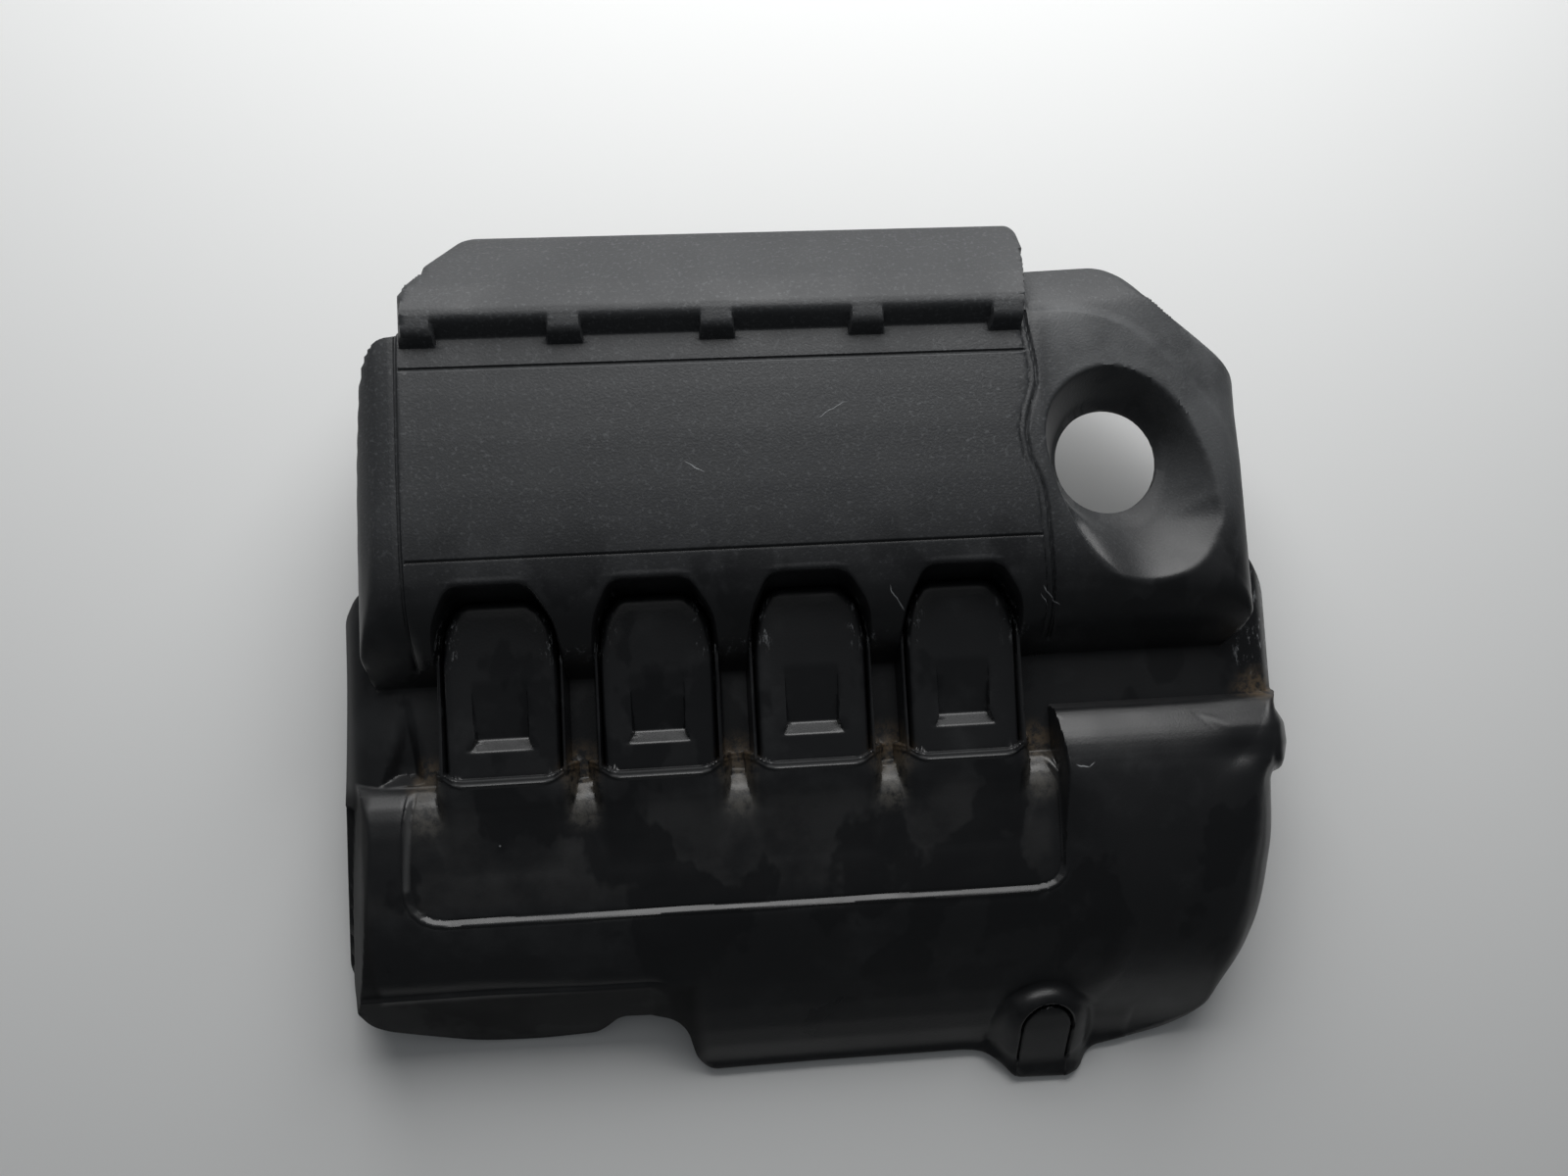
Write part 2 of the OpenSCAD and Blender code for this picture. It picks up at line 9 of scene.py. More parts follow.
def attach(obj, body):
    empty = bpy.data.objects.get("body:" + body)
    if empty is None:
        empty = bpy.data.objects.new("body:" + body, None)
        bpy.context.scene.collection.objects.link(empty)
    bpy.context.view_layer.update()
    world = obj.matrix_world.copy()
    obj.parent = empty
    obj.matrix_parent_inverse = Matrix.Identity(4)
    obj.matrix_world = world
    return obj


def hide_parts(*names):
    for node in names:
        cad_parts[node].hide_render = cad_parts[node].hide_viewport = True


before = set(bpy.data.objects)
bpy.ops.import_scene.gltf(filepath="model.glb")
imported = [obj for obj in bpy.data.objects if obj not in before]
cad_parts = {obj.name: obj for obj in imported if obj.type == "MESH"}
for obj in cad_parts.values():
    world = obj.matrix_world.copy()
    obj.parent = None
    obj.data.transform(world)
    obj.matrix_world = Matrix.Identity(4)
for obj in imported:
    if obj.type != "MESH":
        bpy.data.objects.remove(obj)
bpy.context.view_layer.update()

# The cover is one injection moulding in black glass-filled nylon that clips over the engine. Its skin is
# worked out here as heights over the plan, in millimetres: the roof, rear flap, valley, tongues, cups,
# front, block and filler funnel are smooth forms that run into each other, with a rim all round.
WALL = 2.6
ROOF_Z, VALLEY_Z, FRONT_Z, RIDGE_Z = 113.0, 62.0, 74.0, 120.0
PANEL_L, PANEL_R, POD_L, POD_R, BASE_L, BASE_R = -225.0, 129.0, -256.0, 263.0, -272.0, 284.0
ROW_X, PITCH = -47.0, 88.0
POCKETS = [ROW_X + PITCH * (i - 1.5) for i in range(4)]
TAB_X, TAB_PITCH, TAB_HALF, END_TAB_HALF = -48, 84.2, 8.6, 12.5
BLOCK_L = 143.0
FILLER, FILLER_R, FILLER_Z = (182.5, 116.5), 31.5, 72.0
BOSS = (134.7, -223.7)


def profile(soft, *points):
    """A curve through points, its corners rounded over about soft millimetres."""
    at, height = np.array(sorted(points), float).T
    step = 0.25
    t = np.arange(at[0] - 4 * soft - 1, at[-1] + 4 * soft + 1, step)
    z = np.interp(t, at, height)
    reach = np.arange(-3 * soft, 3 * soft + step, step)
    kernel = np.exp(-0.5 * (reach / soft) ** 2)
    padded = np.pad(z, len(reach) // 2, mode="edge")
    z = np.convolve(padded, kernel / kernel.sum(), mode="valid")[: len(t)]
    return lambda q: np.interp(q, t, z)


def lower(a, b, soft):
    """The lower of two surfaces, with a rounded edge between them."""
    h = np.clip(0.5 + 0.5 * (b - a) / soft, 0, 1)
    return b * (1 - h) + a * h - soft * h * (1 - h) / 2


def upper(a, b, soft):
    """The upper of two surfaces, with a fillet between them."""
    return -lower(-a, -b, soft)


def rounded(points, radius):
    """A closed outline with its corners rounded; a point may bring a radius of its own."""
    out, n = [], len(points)
    for i in range(n):
        p = np.array(points[i][:2], float)
        r = points[i][2] if len(points[i]) > 2 else radius
        a, b = np.array(points[i - 1][:2], float) - p, np.array(points[(i + 1) % n][:2], float) - p
        la, lb = np.linalg.norm(a), np.linalg.norm(b)
        cut = min(r, 0.45 * la, 0.45 * lb)
        start, end = p + a / la * cut, p + b / lb * cut
        for t in np.linspace(0, 1, 6):
            out.append((1 - t) ** 2 * start + 2 * t * (1 - t) * p + t * t * end)
    return np.array(out)


def inside(x, y, outline):
    """How far each point lies inside a closed outline; outside it is negative."""
    far = np.full(x.shape, 1e18)
    within = np.zeros(x.shape, bool)
    for (ax, ay), (bx, by) in zip(outline, np.roll(outline, -1, 0)):
        dx, dy = bx - ax, by - ay
        length = dx * dx + dy * dy
        if length < 1e-12:
            continue
        t = np.clip(((x - ax) * dx + (y - ay) * dy) / length, 0, 1)
        far = np.minimum(far, (x - ax - t * dx) ** 2 + (y - ay - t * dy) ** 2)
        if ay != by:
            within ^= ((ay > y) != (by > y)) & (x < (bx - ax) * (y - ay) / (by - ay) + ax)
    return np.where(within, 1, -1) * np.sqrt(far)


# Plan of the whole rim, from the rear flap round by the right side
RIM = rounded([
    (-223.5, 222.5), (-192, 257, 6), (-186, 259.4, 4), (129, 259.6, 4), (132.5, 254, 4), (133, 228.5, 1.5),
    (178, 230.5, 9), (188, 226, 12), (257, 162.5, 10), (260.5, 156, 4), (261.5, 110), (263.3, 62, 3),
    (272, 57, 5), (283.4, 38, 6), (282, -27, 2), (279, -31, 3), (279.8, -42, 6), (281.5, -58, 8),
    (278.5, -74, 5), (275, -77, 2), (275.3, -100, 14), (275, -113, 14), (271.2, -143, 20),
    (267.8, -162, 15), (259.6, -183.6, 12), (248.2, -204, 6), (245, -211, 5), (241, -219.5, 6),
    (233, -226, 8), (213, -233.8, 10), (192.3, -238.2, 10), (169.5, -242.5, 4), (163.5, -247, 5),
    (160, -256, 5), (150.8, -260, 4), (118, -258.6, 5), (110, -249, 8), (101, -241.6, 8), (88, -239, 10),
    (-6, -238.4), (-71.5, -238.8, 5), (-79, -230, 5), (-83.5, -209, 10), (-91, -199.5, 6),
    (-123.5, -198, 6), (-132, -206, 4), (-139, -211, 6), (-173, -213.2, 12), (-209, -211.4, 14),
    (-259, -197.5, 8), (-268, -192, 5), (-273, -180, 3), (-274, -173.5, 2), (-281, -168.5, 4),
    (-284, -161, 5), (-279.6, -109, 30), (-274.2, -50, 30), (-271.8, 6.6, 30), (-272, 45, 4),
    (-264.5, 57, 5), (-257.6, 62, 3), (-254.5, 125, 40), (-251.5, 176, 10), (-246, 191.5, 6),
    (-238, 197.6, 6), (-226.5, 199, 2), (-224.6, 204, 2)], 3)

# Height of the rim, seen from the side
rim_height = profile(3, (-300, 0), (-165, 0), (-60, 34), (62, 40), (195, 58), (230, 64), (261, 81), (300, 81))

# The roof with its side pods; the right pod has a plateau round the funnel, a step above its rear edge
ROOF_PLAN = rounded([
    (POD_L + 24, -30), (POD_L + 11, -9), (POD_L + 3, 4, 8), (POD_L - 1.5, 22, 10), (POD_L - 2.5, 40, 10),
    (POD_L + 0.5, 125), (POD_L + 4.5, 178), (POD_L + 10, 192, 8), (POD_L + 20, 200, 8), (PANEL_L, 201),
    (PANEL_L, 232), (PANEL_R + 4, 232), (PANEL_R + 50, 234, 10), (PANEL_R + 62, 228, 10),
    (POD_R, 162, 10), (POD_R + 2, 60, 30), (POD_R + 1, 28, 12), (POD_R - 5, 10, 12), (POD_R - 22, -2, 12),
    (POD_R - 30, -30)], 8)
roof_along = profile(
    2.2, (-30, 30), (-3, 52), (1, 60), (5, 67), (10, 74.5), (16, 82), (22, 89), (29, 95.5), (37, 101),
    (46, 105.2), (57, 108), (69.5, 109.6), (85, 111), (105, 112.4), (135, ROOF_Z), (160, ROOF_Z - 0.5),
    (178, ROOF_Z - 1.4), (193, ROOF_Z - 3), (204, ROOF_Z - 6), (216, ROOF_Z - 12), (231, ROOF_Z - 22),
    (240, ROOF_Z - 32))
roof_across = profile(
    2.5, (POD_L - 12, 46), (POD_L - 2, 66), (POD_L + 1, 84), (POD_L + 4, 93), (POD_L + 9, 101),
    (POD_L + 17, 107.5), (PANEL_L, 112.2), (PANEL_L + 10, 124), (PANEL_R - 6, 122), (PANEL_R + 8, 113),
    (PANEL_R + 24, 109.8), (PANEL_R + 56, 107), (PANEL_R + 92, 103.2), (POD_R - 18, 99), (POD_R - 9, 94),
    (POD_R - 3.5, 87), (POD_R - 0.5, 78), (POD_R + 3, 60), (POD_R + 10, 50))
PLATEAU = rounded([
    (PANEL_R - 60, 198.5), (PANEL_R + 34, 199, 14), (PANEL_R + 62, 189, 18), (PANEL_R + 90, 165, 30),
    (PANEL_R + 121, 125, 20), (PANEL_R + 122, -80), (-400, -80), (-400, 198.5)], 3)
plateau_step = profile(0.7, (-30, 2.2), (-5, 1.9), (-2.2, 1.2), (0, 0), (10, 0))


def roof(x, y):
    """Roof and side pods."""
    form = lower(roof_along(y), roof_across(x), 6)
    step = plateau_step(inside(x, y, PLATEAU))
    form = form - step * np.clip((x - PANEL_R) / 3, 0, 1) * np.clip((y - 110) / 30, 0, 1)
    return lower(form, 50 + 9 * (inside(x, y, ROOF_PLAN) + 1), 5)


# The rear flap, a ridge that falls away to the rear, with five tabs on its front
FLAP_PLAN = rounded([
    (PANEL_L + 1.2, 183), (PANEL_L + 1.2, 220, 4), (PANEL_L + 31, 258.5, 6), (PANEL_L + 38, 262, 6),
    (PANEL_R - 1, 262, 6), (PANEL_R + 6, 254, 5), (PANEL_R - 0.5, 205), (PANEL_R - 3, 183)], 5)
flap_along = profile(
    1.1, (185, 106), (191.2, 108.4), (194.5, 112.5), (199.6, 118.4), (202.5, RIDGE_Z), (207, RIDGE_Z - 0.6),
    (213, RIDGE_Z - 3.6), (222, 111.6), (240, 99), (257, 86.4), (260, 84), (264, 78))
tab_along = profile(
    1.0, (180, 60), (184, 104), (186.4, 108.6), (189, 113), (192.6, 118.2), (195.5, RIDGE_Z - 0.4),
    (202, RIDGE_Z), (206, 119), (212, 110), (216, 60))


def flap(x, y):
    """Rear flap and its tabs."""
    edge = inside(x, y, FLAP_PLAN)
    form = flap_along(y)
    for i in range(5):
        off = np.abs(x - TAB_X - (i - 2) * TAB_PITCH) - (END_TAB_HALF if i in (0, 4) else TAB_HALF)
        form = upper(form, lower(tab_along(y), 122 - 9 * np.maximum(off, -2), 1.0), 1.2)
    return lower(form, 60 + 14 * (edge + 0.6) + RIDGE_Z - 100, 3)


# The valley across the middle, with a hollow at its left end
valley_across = profile(
    2.5, (BASE_L - 14, 38), (BASE_L - 3, 44), (BASE_L + 1, 50), (BASE_L + 6, 54.5), (BASE_L + 13, 58.5),
    (BASE_L + 24, 61), (BASE_L + 40, VALLEY_Z), (BASE_R - 34, VALLEY_Z), (BASE_R - 16, 60.5),
    (BASE_R - 7, 57), (BASE_R - 2, 51), (BASE_R + 2, 46), (BASE_R + 8, 42))
HOLLOW = rounded([
    (-240, -4, 3), (-233, -4, 3), (-228, -28), (-225.5, -52, 4), (-252, -53, 4), (-243, -30)], 6)


def valley(x, y):
    """Floor that everything else stands on."""
    dip = np.zeros(x.shape)
    near = (x < -215) & (y < 5) & (y > -60)
    depth = 8 * np.clip(inside(x[near], y[near], HOLLOW) / 6, 0, 1)
    dip[near] = depth * np.clip((-y[near] - 2) / 40, 0.25, 1)
    return valley_across(x) - dip - 3 * np.maximum(-63 - y, 0)


# The front panel, which slopes down to the rim, with a bead round its recess and a ledge above a skirt
front_along = profile(
    1.4, (-44, 40), (-50.5, 56.5), (-56, 65.5), (-63, 70.8), (-71, 73.2), (-80, FRONT_Z), (-95, 73.4),
    (-112, 71.8), (-128, 69.4), (-141, 66), (-153, 61.5), (-166, 55), (-180, 47.6), (-195, 38.5),
    (-210, 28), (-222, 18.6), (-231.5, 10), (-235, 7.4), (-238.4, 6.4), (-243, 4), (-262, 2))
LEDGE = rounded([
    (-300, -174), (-196, -174.2), (-140, -176), (-99, -176.5, 8), (-88, -182, 8), (-83.5, -194, 10),
    (-80.5, -214, 10), (-78, -262), (320, -262), (320, 0), (-300, 0)], 3)
side_across = profile(
    1.2, (BASE_L - 16, -20), (BASE_L - 12, 4), (BASE_L - 4, 31), (BASE_L + 12, 68.5), (BASE_L + 14, 71.5),
    (BASE_L + 18, 74), (BASE_L + 30, 104))
RECESS = rounded([
    (-230.5, -30), (-232.5, -58), (-234.8, -76, 8), (-235.8, -130, 23), (100, -132.4, 8), (141.4, -132.4, 28),
    (141, -74, 8), (137.6, -64, 8), (130, -50), (128, -30)], 8)
bead = profile(
    0.3, (-5, 0), (-3.4, 0), (-2.8, -0.8), (-2.2, 0), (-1.7, 0.5), (-1.1, 0.5), (1.5, -1.9), (2, -2.9),
    (2.7, -2.2), (9, -2.2))
foot_along = profile(1, (-226, 3), (-234, 9.6), (-244, 9), (-248, 7.4), (-258, 4), (-262, 2))


def front(x, y):
    """Front panel with its recess and skirt."""
    ledge = inside(x, y, LEDGE)
    form = front_along(y)
    skirt = lower(lower(form, 49.6 + 0.9 * np.maximum(ledge - 2.5, 0), 1.5), 49.9 + 1.12 * ledge, 0.8)
    skirt = lower(skirt, form + 0.75 * np.minimum(ledge, 0) + 6, 4)
    left = np.clip((-76 - x) / 14, 0, 1)
    form = (form + 0.75 * np.minimum(ledge, 0)) * (1 - left) + left * skirt
    form = lower(form, upper(side_across(x), rim_height(y) + 10.5, 1), 2) - 3 * np.maximum(x - 190, 0)
    form = form + bead(inside(x, y, RECESS)) * np.clip((-56 - y) / 6, 0, 1)
    return upper(form, foot_along(y) - 0.5 * np.maximum(np.abs(x - 131) - 26, 0), 4)


# The block over the belt drive: a sharp rise behind, a long fall in front, and a horn across its right end
block_along = profile(
    0.9, (-18, 30), (-24, 48), (-26.3, 60), (-28, 69), (-29.8, 71.8), (-34, 74.8), (-38, 77.2), (-42, 79.4),
    (-46, 81.2), (-50, 82.6), (-54, 83.6), (-59, 84.5), (-66, 85.1), (-80, 85.6), (-300, 86))
block_fall = profile(
    7, (-20, 91), (-60, 87.8), (-80, 86), (-95, 84.2), (-112, 81.6), (-132, 77.2), (-152, 70.5), (-172, 60.6),
    (-192, 46.5), (-212, 27.6), (-224, 15), (-234, 7), (-246, 2))
block_left = profile(
    0.5, (120, -200), (137.5, 40), (139.3, 66), (140.8, 78), (142, 83), (144, 86.5), (150, 92), (400, 190))
block_rise = profile(
    3, (-232, 10), (-222, 18.5), (-205, 32), (-180, 48.5), (-150, 63.5), (-118, 72), (-80, 82), (-62, 88),
    (-50, 92))
edge_z = profile(
    6, (-400, 2), (-238, 4), (-227, 6), (-219, 8), (-206, 12), (-184, 23), (-164, 29), (-143, 36), (-106, 45),
    (-75, 50), (-36, 54))
shoulder = profile(
    1.2, (-12, -70), (-2.5, -2), (0, 1), (2, 8), (5, 17.5), (9, 24.5), (15, 30.5), (24, 36), (36, 40),
    (46, 41), (90, 70), (400, 400))
horn_along = profile(
    1.4, (-22, -100), (-27, 50), (-30, 62), (-33.5, 71), (-38.5, 77.5), (-45, 81.6), (-53, 83), (-61, 81.4),
    (-67.5, 77), (-72, 70), (-75, 60), (-77.5, 44), (-83, -100))
horn_end = profile(
    1.2, (-24, 262), (-29, 268), (-32, 274.5), (-37, 279.5), (-45, 283.3), (-56, 284), (-66, 282), (-72, 279),
    (-76, 272))
horn_top = profile(
    1.5, (-6, 40), (-1, 56), (1, 63), (4, 70.5), (8, 76.5), (13, 80.8), (19, 83), (42, 83.4),
    (54, 78), (66, 60))


def block(x, y):
    """Block with its horn and the dent before the horn."""
    form = lower(lower(block_along(y), block_fall(y), 3), block_left(x), 1.5)
    form = lower(form, block_rise(y) + 0.34 * (x - BLOCK_L), 6)
    form = lower(form, edge_z(y) + shoulder(inside(x, y, RIM)), 6)
    form = upper(form, lower(horn_along(y), horn_top(horn_end(y) - x), 5), 3)
    return form - 3.2 * np.exp(-((x - 246) / 15) ** 2 - ((y + 61) / 8) ** 2)


# The four pockets: a recess cut in the roof's front, a tongue that runs out of it and a cup at its end
POCKET_PLAN = rounded([
    (-34.6, -60), (-34.5, 20), (-32.8, 35, 10), (-22.5, 55.4, 7), (20, 55.4, 7), (33, 35, 10), (34.5, 20),
    (34.6, -60)], 4)
pocket_back = profile(
    1.2, (-60, VALLEY_Z + 0.5), (43, VALLEY_Z + 0.5), (49.5, 80), (53, 94), (56, 106), (60, 122))
wall_drop = profile(0.25, (-4, 0), (-1.4, 0), (-0.6, 0.7), (0, 2.6), (0.5, 8), (1.2, 22), (2.2, 46), (12, 62))
TONGUE_PLAN = rounded([
    (-32, -58), (-32, 18, 10), (-29.5, 36, 9), (-20.5, 49.4, 6), (18.5, 49.4, 6), (30.5, 36, 9),
    (32.4, 18, 10), (32.4, -58)], 4)
tongue_along = profile(
    1.2, (-58, 76.6), (-36, 78.5), (-20, 79.6), (0, 81.4), (20, 83), (36, 84), (45, 84.4),
    (50, 83.4), (54, 80))
tongue_drop = profile(
    0.3, (-12, 120), (-3, 60), (-0.6, 26), (0, 12), (0.6, 5), (1.4, 2.2), (2.8, 0.9), (5.5, 0.3), (10, 0))
notch_along = profile(0.4, (-42, 90), (-35.6, 78.8), (-28.5, 72.2), (6, 82.4), (12, 86))
notch_half = profile(0.4, (-60, 17.2), (-35.6, 17.2), (-28.5, 14), (20, 14.6))
fin_along = profile(
    0.6, (-70, -60), (-54, 60), (-51, 76), (-48, 78.4), (-10, 78.2), (18, 79.4), (26, 76), (34, 40),
    (60, -60))
lip_line = profile(1.2, (0, -50), (24, -50), (29, -48.6), (34, -45.2), (37.5, -43.8), (60, -43.8))
cup_along = profile(
    0.7, (-38, 80.6), (-54, 81), (-57, 80.4), (-62, 79.2), (-72, 76.8), (-86, 72.6), (-96, 69), (-104, 65),
    (-120, 50), (-130, -100))
cup_half = profile(3, (-40, 1), (-56, 1), (-66, 1.05), (-80, 1.2), (-100, 1.5))
cup_across = profile(
    1.2, (0, 82), (16, 81.8), (24, 80.8), (30, 79.2), (34.5, 77.4), (37.6, 75), (39.4, 70), (41, 60),
    (46, 20))
cup_low = profile(3, (0, 82), (14, 81.6), (24, 79.4), (32, 76), (40, 71), (50, 64), (70, 48))
lip_drop = profile(
    0.25, (-12, 120), (-3, 60), (-0.6, 12), (0, 1.6), (0.5, 0), (1.3, 0), (1.7, 0.5), (2.9, 0.5), (3.3, 0),
    (3.9, 0), (4.6, 1.3), (8, 1.1), (40, 0))


def pocket(x, y, base, roof_form):
    """One pocket, x measured from its middle, cut into the roof and put over the base."""
    wall = inside(x, y, POCKET_PLAN)
    cut = upper(roof_form - wall_drop(wall), lower(pocket_back(y), roof_form, 2), 2)
    roof_form = np.where(wall > -4, cut, roof_form)
    run = tongue_along(y) - tongue_drop(inside(x, y, TONGUE_PLAN))
    notch = upper(notch_along(y), 71.5 + 9 * np.maximum(np.abs(x) - notch_half(y), -1), 0.6)
    run = lower(run, notch, 0.6)
    fin = lower(fin_along(y), 92 - 14 * np.abs(np.abs(x - 0.2) - 34.2), 0.6)
    wide, low = np.abs(x) * cup_half(y), np.clip((-60 - y) / 16, 0, 1)
    cup = lower(cup_along(y), cup_across(wide) * (1 - low) + cup_low(wide) * low, 2)
    cup = cup - lip_drop(lip_line(np.abs(x)) - y)
    soft = 1 + 7 * np.clip((-54 - y) / 8, 0, 1)
    return upper(upper(upper(base, run, 1), fin, 0.6), cup, soft), roof_form


# Funnel down to the filler hole, the two seams along the roof and the two across it
FUNNEL = rounded([
    (132.9, 123), (136.4, 142), (145, 154.2), (158, 163), (173, 167.2), (190, 164.2), (206, 155.4),
    (219.5, 141), (229.5, 120.4), (236.5, 104), (240, 90), (240.2, 76), (236, 63), (227, 51.4), (213, 42.6),
    (196, 38.6), (180, 40.8), (165.5, 49.8), (152.8, 65.4), (140, 94)], 30)
funnel_slope = profile(0.012, (-0.5, 0), (0, 0), (0.05, 0.03), (0.94, 0.93), (1, 1), (1.5, 1.4))
WAVE = [
    (9, 12), (9, 20), (7, 41), (5, 70), (4.5, 82), (3.2, 95), (0, 104), (-3.7, 113), (-5.4, 127), (-4.2, 135),
    (-2.5, 142), (0.5, 149), (2.2, 155), (2.8, 163), (1.5, 175), (-0.6, 192), (-0.8, 206)]
SEAM_Y = (69.5, 175.5)
SECOND_LINE = 4.2


def groove(off, wide=0.8, deep=1.2):
    """Depth of a V groove at off millimetres from its middle."""
    return deep * np.clip(1.5 - np.abs(off) / wide, 0, 1)


def details(x, y, form):
    """Roof form with the funnel sunk and the seams cut in."""
    hole = np.hypot(x - FILLER[0], y - FILLER[1]) - FILLER_R
    rim = inside(x, y, FUNNEL)
    near = (rim > 0) & (hole < 90)
    turns = [k * math.pi / 4 for k in range(8)]
    spread = [(r * math.cos(turn), r * math.sin(turn)) for r in (4.5, 9) for turn in turns]
    rim[near] = np.mean([inside(x[near] + px, y[near] + py, FUNNEL) for px, py in spread], 0)
    share = np.clip((hole - 2) / np.maximum(hole - 2 + rim, 1e-6), 0, 1.2)
    cone = FILLER_Z + (form + 1 - FILLER_Z) * funnel_slope(share) + 1.5 * np.minimum(hole, 0)
    ramp = FILLER_Z + 0.66 * (96 - y) + 0.01 * np.maximum(x - 200, 0) ** 2 + 0.05 * np.maximum(y - 74, 0) ** 2
    cone = lower(upper(ramp, form + 1 - 3 * rim, 3), cone, 6)
    form = np.where(rim > 0, lower(form, cone, 3), form)
    wave = np.interp(y, [p[1] for p in WAVE], [p[0] for p in WAVE]) + PANEL_R
    on_roof = (y > 12) & (y < 200)
    beside = (y > 14) & (y < 192) & (rim < -1)
    cut = np.where(on_roof, groove(x - wave, 0.9, 1.8), 0)
    cut = np.maximum(cut, np.where(beside, groove(x - wave + SECOND_LINE, 0.4, 0.9), 0))
    cut = np.maximum(cut, np.where(on_roof, groove(x - PANEL_L, 0.9, 1.8), 0))
    across = (x > PANEL_L + 2) & (x < wave - SECOND_LINE)
    for at in SEAM_Y:
        cut = np.maximum(cut, np.where(across, groove(y - at), 0))
    return form - cut


# Boss over a fixing at the front right: a sloping pad in a narrow gap, with a collar round it
pad_along = profile(
    1.2, (-190, 46), (-206, 40.6), (-212, 37.5), (-224, 28.5), (-236, 19), (-246, 11), (-250, 8.2), (-262, 3))
pad_gap = profile(0.2, (0, 0), (13.9, 0), (14.5, 0.7), (14.8, 4), (15.9, 4), (16.2, 0.9), (16.9, 0), (30, 0))


def boss(x, y, form):
    """The front's form with the boss's collar, pad and gap."""
    dx, dy = x - BOSS[0] + 0.6, y - BOSS[1] - 1.3
    off = np.hypot(dx, np.maximum(dy, 0))
    away = np.maximum(off - 15, 0)
    form = upper(form, pad_along(y) + 1.2 - 0.05 * away ** 2, 6)
    form = np.where((off < 15.4) & (y > -262), pad_along(y), form)
    return form - pad_gap(off) * np.where(dy > -2, 1, 0.6) * np.clip((y + 247) / 3, 0, 1)


def put(base, form, area, x, y, soft):
    """Blend a form into the skin over its own area of the plan."""
    base[area] = upper(base[area], form(x[area], y[area]), soft)


def height(x, y):
    """Height of the skin over the plan."""
    base = valley(x, y)
    put(base, front, y < -42, x, y, 2.5)
    put(base, block, (x > 130) & (y < -16), x, y, 2)
    near = (np.abs(x - BOSS[0]) < 45) & (y < -170)
    base[near] = boss(x[near], y[near], base[near])
    top = np.full(x.shape, -50.0)
    put(top, roof, y > -36, x, y, 1)
    for at in POCKETS:
        near = (np.abs(x - at) < 46) & (y < 66) & (y > -135)
        base[near], top[near] = pocket(x[near] - at, y[near], base[near], top[near])
    near = y > 8
    top[near] = details(x[near], y[near], top[near])
    base = upper(base, top, 2.5)
    put(base, flap, (y > 180) & (x < 142), x, y, 0.8)
    return base


def lines(start, end, coarse, *zones):
    """Grid lines from start to end, closer in the zones (from, to, step)."""
    out, at = [], start
    while at < end:
        out.append(at)
        step = min([coarse] + [s for a, b, s in zones if a - s <= at < b])
        at += step
    return np.array(out + [end])


def snap(points, outline):
    """Nearest places on a closed outline, how far along it each lies, and its whole length."""
    a, b = outline, np.roll(outline, -1, 0)
    run = b - a
    length = np.linalg.norm(run, axis=1)
    keep = length > 1e-9
    a, run, length = a[keep], run[keep], length[keep]
    start = np.concatenate([[0], np.cumsum(length)])[:-1]
    off = points[:, None, :] - a[None]
    t = np.clip((off * run).sum(2) / length ** 2, 0, 1)
    at = a[None] + t[..., None] * run[None]
    best = ((points[:, None, :] - at) ** 2).sum(2).argmin(1)
    pick = np.arange(len(points))
    return at[pick, best], start[best] + t[pick, best] * length[best], length.sum()


def loops(cells):
    """Closed chains of corners round the kept cells of a grid, each in one turning sense."""
    nx, ny = cells.shape
    padded = np.pad(cells, 1)
    step = {}
    for i, j in np.argwhere(cells):
        if not padded[i + 1, j]:
            step[(i, j)] = step.get((i, j), []) + [(i + 1, j)]
        if not padded[i + 2, j + 1]:
            step[(i + 1, j)] = step.get((i + 1, j), []) + [(i + 1, j + 1)]
        if not padded[i + 1, j + 2]:
            step[(i + 1, j + 1)] = step.get((i + 1, j + 1), []) + [(i, j + 1)]
        if not padded[i, j + 1]:
            step[(i, j + 1)] = step.get((i, j + 1), []) + [(i, j)]
    out = []
    while step:
        start = next(iter(step))
        chain, at = [], start
        while at in step:
            chain.append(at)
            nexts = step[at]
            at = nexts.pop()
            if not nexts:
                del step[chain[-1]]
        out.append(chain)
    return out


class Skin:
    """Vertices and faces gathered for one mesh."""

    def __init__(self):
        self.points, self.faces = [], []

    def add(self, x, y, z):
        """New vertices; returns their numbers."""
        first = len(self.points)
        self.points += list(zip(x, y, z))
        return np.arange(first, first + len(x))

    def strip(self, a, b, far_a, far_b, total):
        """Triangles between two rings, matched by how far round each corner lies."""
        n, m = len(a), len(b)
        i = j = 0
        turn = 1 if (far_a[min(5, n - 1)] - far_a[0]) % total < total / 2 else -1
        run_a = (turn * (far_a - far_a[0])) % total
        run_b = (turn * (far_b - far_a[0]) + total / 2) % total - total / 2
        first = int(np.argmin(np.abs(run_b)))
        lead = run_b[first]
        b, run_b = np.roll(b, -first), (np.roll(run_b, -first) - lead) % total + lead
        run_a[0], run_b[0] = 0, lead
        run_a = np.append(np.maximum.accumulate(run_a), total)
        run_b = np.append(np.maximum.accumulate(run_b), total + lead)
        while i < n or j < m:
            if j >= m or (i < n and run_a[i + 1] <= run_b[j + 1]):
                self.faces.append((a[i % n], a[(i + 1) % n], b[j % m]))
                i += 1
            else:
                self.faces.append((a[i % n], b[(j + 1) % m], b[j % m]))
                j += 1


